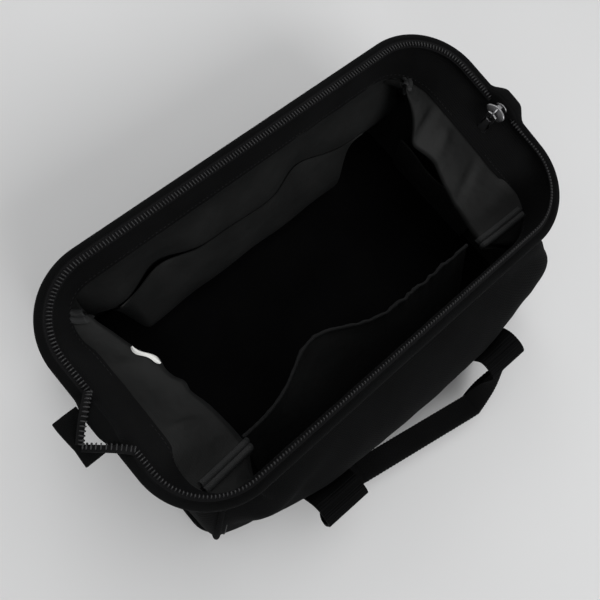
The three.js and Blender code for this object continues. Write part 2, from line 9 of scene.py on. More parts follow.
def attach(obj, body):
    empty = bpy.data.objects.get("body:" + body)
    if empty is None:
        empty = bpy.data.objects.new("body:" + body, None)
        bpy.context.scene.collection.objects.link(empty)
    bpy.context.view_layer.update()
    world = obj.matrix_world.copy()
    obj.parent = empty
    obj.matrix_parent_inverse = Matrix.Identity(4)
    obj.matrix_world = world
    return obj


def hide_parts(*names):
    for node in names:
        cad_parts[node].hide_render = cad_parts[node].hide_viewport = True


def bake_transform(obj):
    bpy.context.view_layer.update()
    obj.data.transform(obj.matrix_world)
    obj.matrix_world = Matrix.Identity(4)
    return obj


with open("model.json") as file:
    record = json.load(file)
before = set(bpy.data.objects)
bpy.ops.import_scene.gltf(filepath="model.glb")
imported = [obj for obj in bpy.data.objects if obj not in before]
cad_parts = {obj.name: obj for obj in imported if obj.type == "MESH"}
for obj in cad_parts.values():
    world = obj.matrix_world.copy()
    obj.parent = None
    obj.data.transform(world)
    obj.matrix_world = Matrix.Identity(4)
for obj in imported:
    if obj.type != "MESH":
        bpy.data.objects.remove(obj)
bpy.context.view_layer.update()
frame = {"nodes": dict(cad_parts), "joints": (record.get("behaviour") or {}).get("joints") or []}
joints = {joint["name"]: joint for joint in frame["joints"]}
hingeHeight = joints["rear_frame_hinge"]["pos_m"][2]
print("frame loaded, hinge line at", round(hingeHeight, 4))


# Small sums used all over the bag

def lerp(a, b, share):
    return a + (b - a) * share


def smooth(low, high, value):
    share = min(1, max(0, (value - low) / (high - low)))
    return share * share * (3 - 2 * share)


def arch(share):
    return math.sin(math.pi * share)


def ripple(x, y, z):
    return noise.noise(Vector((x, y, z)))


def bell(value, place, spread):
    return math.exp(-(((value - place) / spread) ** 2))


def bezier(a, b, c, d, share):
    rest = 1 - share
    return a * rest**3 + b * (3 * rest**2 * share) + c * (3 * rest * share**2) + d * share**3


def alongPath(points, share):
    # a smooth curve through a few points, share running from 0 to 1
    spans = len(points) - 1
    place = min(share, 0.999999) * spans
    i = int(place)
    t = place - i
    before = points[max(i - 1, 0)]
    a = points[i]
    b = points[i + 1]
    after = points[min(i + 2, spans)]
    return 0.5 * (2 * a + (b - before) * t + (2 * before - 5 * a + 4 * b - after) * t**2
                  + (3 * a - before - 3 * b + after) * t**3)


# Materials, all from nodes

def newMaterial(name):
    material = bpy.data.materials.new(name)
    material.use_nodes = True
    return material, material.node_tree, material.node_tree.nodes["Principled BSDF"]


def addNode(tree, kind, values=(), **settings):
    node = tree.nodes.new(kind)
    for key, value in settings.items():
        setattr(node, key, value)
    for key, value in dict(values).items():
        if isinstance(value, bpy.types.NodeSocket):
            tree.links.new(value, node.inputs[key])
        else:
            node.inputs[key].default_value = value
    return node


def threads(tree, vector, pitch, direction):
    # a wave texture of scale 1 has a period of pi / 10
    wave = addNode(tree, "ShaderNodeTexWave", {
        "Vector": vector,
        "Scale": math.pi / (10 * pitch),
        "Distortion": clothGrain["threadWaver"],
        "Detail": 1.0,
    }, bands_direction=direction)
    return wave.outputs["Fac"]


def plainWeave(tree, vector, pitch):
    # threads over and under: a checker picks the warp or the weft
    warp = threads(tree, vector, pitch, "X")
    weft = threads(tree, vector, pitch, "Y")
    over = addNode(tree, "ShaderNodeTexChecker", {"Vector": vector, "Scale": 1 / pitch})
    weave = addNode(tree, "ShaderNodeMix", {0: over.outputs["Fac"], 2: warp, 3: weft})
    return weave.outputs[0]


tintStops = (0.3, 0.75)


def tint(tree, factor, dark, light):
    ramp = addNode(tree, "ShaderNodeValToRGB", {"Fac": factor})
    for stop, place, colour in zip(ramp.color_ramp.elements, tintStops, (dark, light)):
        stop.position = place
        stop.color = (*colour, 1)
    return ramp.outputs["Color"]


def multiply(tree, a, b):
    return addNode(tree, "ShaderNodeMath", {0: a, 1: b}, operation="MULTIPLY").outputs[0]


def addUp(tree, a, b):
    return addNode(tree, "ShaderNodeMath", {0: a, 1: b}, operation="ADD").outputs[0]


def clouds(tree, place, scale, detail):
    values = {"Vector": place, "Scale": scale, "Detail": detail}
    return addNode(tree, "ShaderNodeTexNoise", values).outputs["Fac"]


def between(tree, factor, span):
    values = {"Value": factor, "To Min": span[0], "To Max": span[1]}
    return addNode(tree, "ShaderNodeMapRange", values).outputs["Result"]


def raised(tree, height, strength, depth):
    values = {"Height": height, "Strength": strength, "Distance": depth}
    return addNode(tree, "ShaderNodeBump", values)


clothGrain = {
    "threadWaver": 0.3,
    "blotchScale": 28.0,
    "blotchShare": 0.55,      # what each pattern adds to the tint
    "weaveShare": 0.25,
    "lintScale": 900.0,
    "lintShare": 0.2,
    "puckerDepth": 0.003,
    "threadDepth": 0.0004,
    "sheenRoughness": 0.5,
    "sheenTint": (0.8, 0.85, 0.9, 1),
}


def clothMaterial(name, look):
    material, tree, shader = newMaterial(name)
    uv = addNode(tree, "ShaderNodeUVMap", uv_map="weave").outputs["UV"]
    place = addNode(tree, "ShaderNodeTexCoord").outputs["Object"]
    weave = plainWeave(tree, uv, look["pitch"])
    blotch = clouds(tree, place, clothGrain["blotchScale"], 4.0)
    lint = clouds(tree, place, clothGrain["lintScale"], 2.0)
    blotched = multiply(tree, blotch, clothGrain["blotchShare"])
    mixed = addUp(tree, blotched, multiply(tree, weave, clothGrain["weaveShare"]))
    mixed = addUp(tree, mixed, multiply(tree, lint, clothGrain["lintShare"]))
    tree.links.new(tint(tree, mixed, look["dark"], look["light"]), shader.inputs["Base Color"])
    tree.links.new(between(tree, blotch, look["roughness"]), shader.inputs["Roughness"])
    pucker = clouds(tree, place, look["puckerScale"], 3.0)
    soft = raised(tree, pucker, look["pucker"], clothGrain["puckerDepth"])
    fine = raised(tree, weave, look["weaveBump"], clothGrain["threadDepth"])
    tree.links.new(soft.outputs["Normal"], fine.inputs["Normal"])
    tree.links.new(fine.outputs["Normal"], shader.inputs["Normal"])
    shader.inputs["Specular IOR Level"].default_value = look["specular"]
    shader.inputs["Sheen Weight"].default_value = look["sheen"]
    shader.inputs["Sheen Roughness"].default_value = clothGrain["sheenRoughness"]
    shader.inputs["Sheen Tint"].default_value = clothGrain["sheenTint"]
    return material


outerCloth = clothMaterial("blackWovenCloth", {
    "pitch": 0.0011, "dark": (0.0011, 0.00115, 0.0012), "light": (0.0041, 0.0043, 0.0045),
    "roughness": (0.72, 0.88), "specular": 0.05, "sheen": 0.008, "weaveBump": 0.55,
    "pucker": 0.25, "puckerScale": 45.0,
})
coatedLining = clothMaterial("coatedLining", {
    "pitch": 0.0009, "dark": (0.0073, 0.0075, 0.0075), "light": (0.016, 0.0165, 0.0163),
    "roughness": (0.42, 0.58), "specular": 0.12, "sheen": 0.01, "weaveBump": 0.2,
    "pucker": 0.45, "puckerScale": 60.0,
})
facingCloth = clothMaterial("facingCloth", {
    "pitch": 0.0009, "dark": (0.0026, 0.0026, 0.0027), "light": (0.0068, 0.0069, 0.0071),
    "roughness": (0.75, 0.9), "specular": 0.05, "sheen": 0.008, "weaveBump": 0.45,
    "pucker": 0.2, "puckerScale": 60.0,
})
bindingTape = clothMaterial("bindingTape", {
    "pitch": 0.0007, "dark": (0.012, 0.0124, 0.0126), "light": (0.026, 0.027, 0.0275),
    "roughness": (0.42, 0.56), "specular": 0.2, "sheen": 0.02, "weaveBump": 0.5,
    "pucker": 0.2, "puckerScale": 90.0,
})
webbingCloth = clothMaterial("ribbedWebbing", {
    "pitch": 0.0014, "dark": (0.0012, 0.00124, 0.00128), "light": (0.0042, 0.0043, 0.0045),
    "roughness": (0.66, 0.82), "specular": 0.035, "sheen": 0.005, "weaveBump": 0.6,
    "pucker": 0.1, "puckerScale": 80.0,
})
zipTapeCloth = clothMaterial("zipTapeCloth", {
    "pitch": 0.0006, "dark": (0.0025, 0.0025, 0.0027), "light": (0.007, 0.007, 0.0075),
    "roughness": (0.6, 0.78), "specular": 0.09, "sheen": 0.012, "weaveBump": 0.6,
    "pucker": 0.1, "puckerScale": 120.0,
})
elasticCloth = clothMaterial("pocketElastic", {
    "pitch": 0.0008, "dark": (0.006, 0.0062, 0.0064), "light": (0.014, 0.0144, 0.0147),
    "roughness": (0.5, 0.68), "specular": 0.14, "sheen": 0.02, "weaveBump": 0.6,
    "pucker": 0.3, "puckerScale": 160.0,
})
labelSatin = clothMaterial("blankLabel", {
    "pitch": 0.0004, "dark": (0.62, 0.62, 0.6), "light": (0.82, 0.82, 0.8),
    "roughness": (0.4, 0.55), "specular": 0.4, "sheen": 0.1, "weaveBump": 0.2,
    "pucker": 0.2, "puckerScale": 120.0,
})


smoothGrain = {
    "cloudShare": 0.8,
    "worn": (0.5, 0.6),       # how pointed an edge is where wear starts and is full
    "bumpDepth": 0.0003,
}


def smoothMaterial(name, look):
    # moulded, wound and plated surfaces: fine grain, uneven gloss and worn high spots
    material, tree, shader = newMaterial(name)
    place = addNode(tree, "ShaderNodeTexCoord").outputs["Object"]
    grain = clouds(tree, place, look["grain"], 5.0)
    cloud = clouds(tree, place, look["cloud"], 2.0)
    edges = addNode(tree, "ShaderNodeNewGeometry").outputs["Pointiness"]
    wornFrom, wornTo = smoothGrain["worn"]
    worn = addNode(tree, "ShaderNodeMapRange", {"Value": edges, "From Min": wornFrom, "From Max": wornTo})
    clouded = multiply(tree, cloud, smoothGrain["cloudShare"])
    mixed = addUp(tree, clouded, multiply(tree, worn.outputs["Result"], look["wear"]))
    tree.links.new(tint(tree, mixed, look["dark"], look["light"]), shader.inputs["Base Color"])
    tree.links.new(between(tree, grain, look["roughness"]), shader.inputs["Roughness"])
    bump = raised(tree, grain, look["bump"], smoothGrain["bumpDepth"])
    tree.links.new(bump.outputs["Normal"], shader.inputs["Normal"])
    shader.inputs["Metallic"].default_value = look["metal"]
    shader.inputs["Specular IOR Level"].default_value = look["specular"]
    return material


coilNylon = smoothMaterial("coilNylon", {
    "grain": 1500.0, "cloud": 60.0, "wear": 0.3,
    "dark": (0.007, 0.007, 0.0073), "light": (0.024, 0.024, 0.025),
    "roughness": (0.28, 0.44), "bump": 0.1, "metal": 0.0, "specular": 0.28,
})
sewingThread = smoothMaterial("sewingThread", {
    "grain": 2400.0, "cloud": 90.0, "wear": 0.2,
    "dark": (0.004, 0.004, 0.0043), "light": (0.011, 0.011, 0.0117),
    "roughness": (0.45, 0.65), "bump": 0.4, "metal": 0.0, "specular": 0.18,
})
platedSteel = smoothMaterial("platedSteel", {
    "grain": 420.0, "cloud": 70.0, "wear": 0.4,
    "dark": (0.12, 0.12, 0.124), "light": (0.34, 0.34, 0.35),
    "roughness": (0.26, 0.46), "bump": 0.08, "metal": 1.0, "specular": 0.5,
})
wireSteel = smoothMaterial("wireSteel", {
    "grain": 700.0, "cloud": 40.0, "wear": 0.3,
    "dark": (0.2, 0.2, 0.2), "light": (0.42, 0.42, 0.43),
    "roughness": (0.3, 0.5), "bump": 0.15, "metal": 1.0, "specular": 0.5,
})
# the board is black, and its colour is set darker than the black cloth as painted shade for the deep inside
# of the bag
boardSheet = smoothMaterial("boardSheet", {
    "grain": 380.0, "cloud": 22.0, "wear": 0.3,
    "dark": (0.0009, 0.0009, 0.001), "light": (0.0024, 0.0024, 0.0026),
    "roughness": (0.7, 0.88), "bump": 0.3, "metal": 0.0, "specular": 0.03,
})
print("materials made")


# Making and placing pieces

def gridMesh(columns, rows, at, flat, turnAt=None, paint=None):
    # a grid bent into place: at(u, v) gives each point, flat is the size of the cloth it was cut from,
    # turnAt the share of a joint's turn that a point follows, and paint the material of a face
    bm = bmesh.new()
    weave = bm.loops.layers.uv.new("weave")
    bmesh.ops.create_grid(bm, x_segments=columns, y_segments=rows, size=0.5)
    turned = bm.verts.layers.float.new("turnShare") if turnAt else None
    for face in bm.faces:
        if paint:
            middle = face.calc_center_median()
            face.material_index = paint(middle.x + 0.5, middle.y + 0.5)
        for loop in face.loops:
            loop[weave].uv = ((loop.vert.co.x + 0.5) * flat[0], (loop.vert.co.y + 0.5) * flat[1])
    for edge in bm.edges:
        edge.smooth = not edge.is_boundary
    for vert in bm.verts:
        u = min(1, max(0, vert.co.x + 0.5))
        v = min(1, max(0, vert.co.y + 0.5))
        if turnAt:
            vert[turned] = turnAt(u, v)
        vert.co = at(u, v)
    return bm


offAxis = Vector((0.31, 0.17, 0.93))   # no cord of the bag runs along this


def tubeMesh(points, radius, sides, closed=False):
    # a round cord along points, with its seam merged and its ends capped
    count = len(points)
    last = count - 1

    def at(u, v):
        i = round(u * last)
        here = points[i]
        ahead = points[(i + 1) % last] if closed else points[min(i + 1, last)]
        behind = points[(i - 1) % last] if closed else points[max(i - 1, 0)]
        tangent = (ahead - behind).normalized()
        side = tangent.cross(offAxis).normalized()
        angle = 2 * math.pi * v
        return here + (side * math.cos(angle) + tangent.cross(side) * math.sin(angle)) * radius

    run = sum((points[i + 1] - points[i]).length for i in range(last))
    bm = gridMesh(last, sides, at, (run, 2 * math.pi * radius))
    bmesh.ops.remove_doubles(bm, verts=bm.verts, dist=radius * 0.01)
    for edge in bm.edges:
        edge.smooth = True
    if not closed:
        bmesh.ops.holes_fill(bm, edges=[edge for edge in bm.edges if edge.is_boundary], sides=sides + 1)
    bmesh.ops.recalc_face_normals(bm, faces=bm.faces)
    return bm


def addPiece(bm, name, slot, *materials):
    mesh = bpy.data.meshes.new(name)
    bm.to_mesh(mesh)
    bm.free()
    for material in materials:
        mesh.materials.append(material)
    for face in mesh.polygons:
        face.use_smooth = True
    piece = bpy.data.objects.new(name, mesh)
    bpy.context.scene.collection.objects.link(piece)
    return piece


def thicken(piece, thickness, lining=0):
    wall = piece.modifiers.new("clothThickness", "SOLIDIFY")
    wall.thickness = thickness
    wall.offset = 0
    wall.material_offset = lining


def addFixed(bm, name, slot, material, bodyName, node, thickness=None):
    # a piece that moves with one body
    piece = addPiece(bm, name, slot, material)
    if thickness:
        thicken(piece, thickness)
    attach(piece, bodyName)
    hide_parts(node)
    return piece


def bendBetween(piece):
    low = piece.data.vertices[0].co
    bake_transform(piece)
    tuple(low)


def placeOrder(items, placeOf):
    placed = sorted(items, key=lambda item: tuple(round(value, 7) for value in placeOf(item)))
    return {item: i for i, item in enumerate(placed)}


def inOrder(bm):
    # points and faces by their place, so that every run gives the same mesh
    points = placeOrder(bm.verts, lambda vert: vert.co)
    bm.verts.sort(key=points.get)
    faces = placeOrder(bm.faces, lambda face: face.calc_center_median())
    bm.faces.sort(key=faces.get)


def smallShape(name, make):
    # a small shape kept as a mesh, to be set out many times
    bm = bmesh.new()
    make(bm)
    inOrder(bm)
    mesh = bpy.data.meshes.new(name)
    bm.to_mesh(mesh)
    bm.free()
    return mesh


def edgesOf(verts):
    # each edge once, in the order of the points
    return list(dict.fromkeys(edge for vert in verts for edge in vert.link_edges))


def setOut(bm, shape, place):
    shape.transform(place)
    bm.from_mesh(shape)
    shape.transform(place.inverted())


def addTurned(bm, name, slot, material, still, moving, thickness, *nodes):
    # a piece across a joint: the shares of the turn that gridMesh stored are taken off again
    piece = addPiece(bm, name, slot, material)
    thicken(piece, thickness)
    stored = piece.data.attributes["turnShare"]
    piece.data.attributes.remove(stored)
    bendBetween(piece)
    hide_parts(*nodes)


# The mouth: a rounded rectangle of two halves that tilt about the hinge line

mouth = {
    "length": 0.356,         # along the coil line
    "depth": 0.172,
    "corner": 0.045,
    "rearRise": math.radians(4),
    "frontDrop": math.radians(7),
    "rodOutset": 0.0056,     # wire frame outside the coil
    "rodDrop": 0.0035,       # wire frame below the hinge line
    "hemDepth": 0.036,
    "tiltBlend": 0.012,      # either side of the hinge line
    "endLean": math.radians(40),
    "endLeanRuns": (0.03, 0.1),
    "leanStart": 0.012,      # depth of hem over which the lean sets in
    "rearFacingLean": math.radians(14),
    "facingLeanStart": 0.014,
    "slack": 0.05,           # wall below the hem that gives as the mouth shuts
    "slackReach": 0.095,
    "stiffDrop": 0.009,
}
sideRun = mouth["depth"] / 2 - mouth["corner"]
arcRun = mouth["corner"] * math.pi / 2
longRun = mouth["length"] - 2 * mouth["corner"]
rimRun = 2 * (sideRun + arcRun) + longRun
frameSign = {"rear": 1, "front": -1}


def rimFlat(run):
    # place and outward direction on the coil line of the rear half, run from the left end to the right
    mirrored = run > rimRun / 2
    run = rimRun - run if mirrored else run
    corner = mouth["corner"]
    left = -mouth["length"] / 2
    if run < sideRun:
        x, y, outX, outY = left, run, -1, 0
    elif run < sideRun + arcRun:
        turn = (run - sideRun) / corner
        outX, outY = -math.cos(turn), math.sin(turn)
        x, y = left + corner + corner * outX, sideRun + corner * outY
    else:
        x, y, outX, outY = left + corner + run - sideRun - arcRun, sideRun + corner, 0, 1
    flip = -1 if mirrored else 1
    return flip * x, y, flip * outX, outY


def tilted(x, y, lift):
    tilt = lerp(mouth["frontDrop"], mouth["rearRise"], smooth(-mouth["tiltBlend"], mouth["tiltBlend"], y))
    return Vector((
        x,
        y * math.cos(tilt) - lift * math.sin(tilt),
        hingeHeight + y * math.sin(tilt) + lift * math.cos(tilt),
    ))


def rimPoint(sign, run, outset, lift):
    x, y, outX, outY = rimFlat(run)
    return tilted(x + outX * outset, sign * (y + outY * outset), lift)


def hangPoint(sign, run, depth, off):
    # a point of the hem, hung from the wire: it leans into the bag at the two ends, as does the rear facing
    near = min(run, rimRun - run)
    atSide = smooth(*mouth["endLeanRuns"], near)
    lean = mouth["endLean"] * (1 - atSide) * smooth(0, mouth["leanStart"], depth)
    if sign > 0 and off < 0:
        lean += mouth["rearFacingLean"] * atSide * smooth(0, mouth["facingLeanStart"], depth)
    outset = mouth["rodOutset"] - depth * math.sin(lean) + off * math.cos(lean)
    return rimPoint(sign, run, outset, -mouth["rodDrop"] - depth * math.cos(lean) - off * math.sin(lean))


def mouthShare(point, sign):
    # how far a point of the mouth's cloth follows its frame as the mouth shuts
    tilt = mouth["rearRise"] if sign > 0 else mouth["frontDrop"]
    rise = point.z - hingeHeight
    reach = sign * (point.y * math.cos(tilt) + rise * math.sin(tilt))
    drop = point.y * math.sin(tilt) - rise * math.cos(tilt)
    if reach <= 0:
        return 0.0
    slack = mouth["slack"] * min(reach, mouth["slackReach"]) / mouth["slackReach"]
    return smooth(0, 1, 1 - (drop - mouth["stiffDrop"]) / max(slack, 1e-6))


def bendWithMouth(piece, half):
    weights = [mouthShare(vert.co, frameSign[half]) for vert in piece.data.vertices]
    bendBetween(piece)


def addBent(bm, name, slot, materials, half, node=None, thickness=None, lining=0):
    # a piece on one half of the mouth: how far each point would follow its frame is worked out, and not
    # kept
    piece = addPiece(bm, name, slot, *materials)
    if thickness:
        thicken(piece, thickness, lining)
    bendWithMouth(piece, half)
    if node:
        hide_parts(node)


# The slack walls between the base seam and the hem

body = {
    "footLength": 0.1737,
    "footWidth": 0.0987,
    "footCorner": 0.016,
    "footHeight": 0.0027,
    "straightShare": 0.8,     # share of a side before its corner starts to turn
    "tuckedUnderHem": 0.005,
    "swell": {"front": 0.039, "rear": 0.014},
    "swellHigh": {"front": 1.35, "rear": 1.2},
    "swellRight": {"front": 0.15, "rear": 0},
    "drawFrom": 0.62,         # where a long wall starts to be drawn to its seams
    "draw": 2.2,
    "lateDraw": 5,            # at the front right
    "clothThickness": 0.0014,
}
# fullness of the front wall beside its right seam
lobe = {"size": 0.024, "place": 0.92, "spread": 0.17, "seam": 0.07, "high": 2.1, "forward": 0.35}
ridge = {
    "share": 0.76,            # how far up an end panel its inward fold lies
    "frontReach": {"left": 0.119, "right": 0.126},
    "rearReach": {"left": 0.149, "right": 0.152},
    "frontHeight": 0.087,
    "rearHeight": 0.118,
    "halfWidth": 0.066,
    "peak": {"left": (-0.08, 0.07, 0.0018), "right": (0.42, 0.2, 0.01)},   # place, spread and depth
    "reachCurve": 1.6,
    "heightCurve": 1.5,
    "frontBulge": -0.022,     # of the panel below the fold, at its two seams
    "rearBulge": 0.008,
    "bulgeFrom": 0.3,
    "low": (0.012, 0.052),    # out and up from the foot
    "under": (0.04, 0.016),   # out and down from the fold
    "underBulge": 0.6,
    "sag": -0.003,
}
wallSign = {"front": -1, "rear": 1, "left": -1, "right": 1}
outAxis = {
    "front": Vector((0, -1, 0)),
    "rear": Vector((0, 1, 0)),
    "left": Vector((-1, 0, 0)),
    "right": Vector((1, 0, 0)),
}
outTurn = {"front": 1, "rear": -1, "left": -1, "right": 1}   # handedness of each wall's u and t
# creases: from, to (u along the wall, t up it), width and depth in metres
creases = {
    "front": [
        ((-0.98, 0.8), (-0.5, 0.93), 0.007, -0.008),
        ((-0.8, 0.62), (-0.35, 0.86), 0.008, -0.004),
        ((-0.92, 0.55), (-0.66, 0.74), 0.006, 0.004),
        ((-0.96, 0.36), (-0.62, 0.5), 0.007, -0.0035),
        ((0.55, 0.92), (0.95, 0.78), 0.008, -0.005),
        ((0.62, 0.55), (0.93, 0.42), 0.009, -0.003),
        ((-0.62, 0.1), (-0.5, 0.46), 0.01, 0.0025),
        ((0.58, 0.12), (0.44, 0.5), 0.01, 0.0025),
        ((-0.2, 0.16), (0.25, 0.22), 0.012, -0.002),
    ],
    "rear": [
        ((-0.95, 0.75), (-0.6, 0.9), 0.008, 0.005),
        ((0.95, 0.78), (0.62, 0.92), 0.008, 0.005),
        ((-0.5, 0.2), (-0.15, 0.34), 0.011, -0.003),
        ((0.2, 0.3), (0.6, 0.22), 0.011, -0.003),
        ((-0.05, 0.62), (0.3, 0.8), 0.012, 0.003),
        ((0.95, 0.95), (0.7, 0.48), 0.007, -0.007),
        ((0.72, 0.96), (0.52, 0.6), 0.008, -0.006),
        ((0.88, 0.62), (0.6, 0.4), 0.007, 0.004),
        ((-0.9, 0.5), (-0.62, 0.7), 0.009, -0.004),
    ],
    "left": [
        ((-0.85, 0.5), (-0.2, 0.72), 0.006, 0.004),
        ((0.1, 0.62), (0.5, 0.95), 0.006, -0.004),
        ((-0.2, 0.3), (0.45, 0.4), 0.009, 0.003),
        ((-0.55, 0.84), (-0.5, 0.98), 0.005, -0.003),
    ],
    "right": [
        ((0.1, 0.8), (0.4, 0.98), 0.005, 0.003),
        ((0.42, 0.77), (0.7, 0.97), 0.005, -0.005),
        ((-0.45, 0.8), (-0.3, 0.98), 0.006, -0.003),
        ((-0.6, 0.35), (0.3, 0.5), 0.009, 0.003),
    ],
}


def rimPlace(side, u):
    # which half of the mouth a wall hangs from, and where along its rim
    straight = body["straightShare"]
    turn = max(0, (abs(u) - straight) / (1 - straight)) * arcRun / 2
    along = min(1, abs(u) / straight)
    if side in frameSign:
        run = rimRun / 2 + math.copysign(along * longRun / 2 + turn, u)
        return frameSign[side], run
    near = along * sideRun + turn
    return (1 if u >= 0 else -1), (near if side == "left" else rimRun - near)


def footPoint(side, u):
    straight = body["straightShare"]
    radius = body["footCorner"]
    long = side in frameSign
    reach = body["footLength"] if long else body["footWidth"]
    depth = body["footWidth"] if long else body["footLength"]
    turn = max(0, (abs(u) - straight) / (1 - straight)) * math.pi / 4
    along = math.copysign((reach - radius) * min(1, abs(u) / straight) + radius * math.sin(turn), u)
    out = wallSign[side] * (depth - radius + radius * math.cos(turn))
    return Vector((along, out, body["footHeight"])) if long else Vector((out, along, body["footHeight"]))


def wallTop(side, u):
    sign, run = rimPlace(side, u)
    return hangPoint(sign, run, mouth["hemDepth"] - body["tuckedUnderHem"], 0)


def endPoint(side, u, t):
    # an end panel folds inward: up from the base, in to a sharp ridge, then back up to the hem
    rearward = (u + 1) / 2
    out = outAxis[side]
    foot = footPoint(side, u)
    top = wallTop(side, u)
    reach = lerp(ridge["frontReach"][side], ridge["rearReach"][side], rearward ** ridge["reachCurve"])
    place, spread, depth = ridge["peak"][side]
    reach -= depth * bell(u, place, spread)
    height = lerp(ridge["frontHeight"], ridge["rearHeight"], rearward ** ridge["heightCurve"])
    fold = Vector((out.x * reach, ridge["halfWidth"] * u, height))
    bulge = Vector((0, ridge["frontBulge"], 0)) * smooth(ridge["bulgeFrom"], 1, -u)
    bulge += Vector((0, ridge["rearBulge"], 0)) * smooth(ridge["bulgeFrom"], 1, u)
    if t < ridge["share"]:
        lowOut, lowUp = ridge["low"]
        underOut, underDown = ridge["under"]
        low = foot + out * lowOut + bulge + Vector((0, 0, lowUp))
        under = fold + out * underOut + bulge * ridge["underBulge"] - Vector((0, 0, underDown))
        return bezier(foot, low, under, fold, t / ridge["share"])
    rest = (t - ridge["share"]) / (1 - ridge["share"])
    sag = Vector((0, 0, ridge["sag"])) * arch(rest)
    return fold.lerp(top, rest) + sag


def longPoint(side, u, t):
    # a long wall swells between base and hem, and is drawn in to the end panels at its seams
    foot = footPoint(side, u)
    top = wallTop(side, u)
    across = (1 - abs(u) ** 4) * (1 + body["swellRight"][side] * u)
    swell = body["swell"][side] * across * arch(t ** body["swellHigh"][side])
    place = foot.lerp(top, t) + outAxis[side] * swell
    if side == "front":
        full = lobe["size"] * bell(u, lobe["place"], lobe["spread"]) * smooth(0, lobe["seam"], 1 - abs(u))
        full *= arch(t ** lobe["high"])
        place += Vector((full, -lobe["forward"] * full, 0))
    end = "left" if u < 0 else "right"
    corner = math.copysign(1, u)
    seam = endPoint(end, wallSign[side], t)
    seamStart = footPoint(side, corner).lerp(wallTop(side, corner), t)
    curve = body["lateDraw"] if side == "front" and u > 0 else body["draw"]
    draw = max(0, (abs(u) - body["drawFrom"]) / (1 - body["drawFrom"])) ** curve
    return place + (seam - seamStart) * draw


wallCloth = {
    "longWidth": 0.34,
    "endWidth": 0.19,
    "reach": 0.105,           # from foot to hem
    "cutHeight": 0.115,
    "held": (0.12, 0.1, 0.12),   # share of cloth held flat at foot, hem and seams
    "waves": ((22, 0.0016), (70, 0.0006)),   # scale and depth
    "creaseEnds": (0.12, 0.88),
    "rows": 46,
}


def wallWidth(side):
    return wallCloth["longWidth"] if side in frameSign else wallCloth["endWidth"]


def wallPoint(side, u, t):
    place = longPoint(side, u, t) if side in frameSign else endPoint(side, u, t)
    width = wallWidth(side)
    reach = wallCloth["reach"]
    foot, top, seam = wallCloth["held"]
    held = smooth(0, foot, t) * smooth(0, top, 1 - t) * smooth(0, seam, 1 - abs(u))
    lift = sum(depth * noise.noise(place * scale) for scale, depth in wallCloth["waves"])
    for start, end, spread, depth in creases[side]:
        a = Vector((start[0] * width / 2, start[1] * reach))
        b = Vector((end[0] * width / 2, end[1] * reach))
        p = Vector((u * width / 2, t * reach))
        share = min(1, max(0, (p - a).dot(b - a) / (b - a).length_squared))
        off = (p - a.lerp(b, share)).length
        lift += depth * bell(off, 0, spread) * arch(lerp(*wallCloth["creaseEnds"], share))
    return place + outAxis[side] * (lift * held)


def offWall(side, u, t, lift):
    step = 0.004
    along = wallPoint(side, u + step, t) - wallPoint(side, u - step, t)
    rise = wallPoint(side, u, t + step) - wallPoint(side, u, t - step)
    normal = along.cross(rise).normalized()
    return wallPoint(side, u, t) + normal * (outTurn[side] * lift)


def wallPiece(name, side, fromU, toU, columns, half, node):
    flat = (wallWidth(side) / 2 * abs(toU - fromU), wallCloth["cutHeight"])
    bm = gridMesh(columns, wallCloth["rows"], lambda u, v: wallPoint(side, lerp(fromU, toU, u), v), flat)
    addBent(bm, name, "cloth", (outerCloth, coatedLining), half, node, body["clothThickness"], 1)


wallPiece("frontWall", "front", -1, 1, 120, "front", "front_wall")
wallPiece("rearWall", "rear", 1, -1, 110, "rear", "rear_wall")
wallPiece("leftEndFront", "left", 0, -1, 44, "front", "left_end_panel")
wallPiece("leftEndRear", "left", 1, 0, 44, "rear", "left_end_panel")
wallPiece("rightEndFront", "right", -1, 0, 44, "front", "right_end_panel")
wallPiece("rightEndRear", "right", 0, 1, 44, "rear", "right_end_panel")
print("walls made")


# The hem: folded over the wire, its outer flap and inner facing sewn to the wall between them

hem = {
    "roll": 0.003,
    "flapOff": 0.0017,
    "earRise": 0.007,        # cloth over the hinge eyes at the two ends
    "earWidth": 0.0054,
    "earSquare": 0.5,        # how boxy the cloth is over the pins
    "earRuns": (0.006, 0.02),
    "wave": 0.0004,
    "waveScale": 60,
    "rollCloth": 0.011,
    "facingFrom": 0.62,      # share of the section where the facing's cloth starts
    "thickness": 0.0006,
    "columns": 230,
    "rollSteps": 10,
    "flapSteps": (1, 0.8, 0.6, 0.42, 0.28),
}


def hemSection():
    flap = [(mouth["hemDepth"] * share, 1.0) for share in hem["flapSteps"]]
    roll = [(None, math.pi * i / hem["rollSteps"]) for i in range(hem["rollSteps"] + 1)]
    return flap + roll + [(depth, -1.0) for depth, _ in reversed(flap)]


def hemPoint(sign, run, part):
    depth, turn = part
    near = min(run, rimRun - run)
    ear = 1 - smooth(*hem["earRuns"], near)
    wave = hem["wave"] * ripple(run * hem["waveScale"], sign, 0)
    if depth is None:
        width = lerp(hem["roll"], hem["earWidth"], ear)
        rise = lerp(hem["roll"], hem["earRise"], ear)
        lift = mouth["rodDrop"] * ear
        boxy = lerp(1, hem["earSquare"], ear)
        across = math.copysign(abs(math.cos(turn)) ** boxy, math.cos(turn))
        over = max(0, math.sin(turn)) ** boxy
        outset = mouth["rodOutset"] + width * across
        return rimPoint(sign, run, outset, -mouth["rodDrop"] + lift + rise * over)
    off = turn * (hem["flapOff"] + wave)
    return hangPoint(sign, run, depth, off)


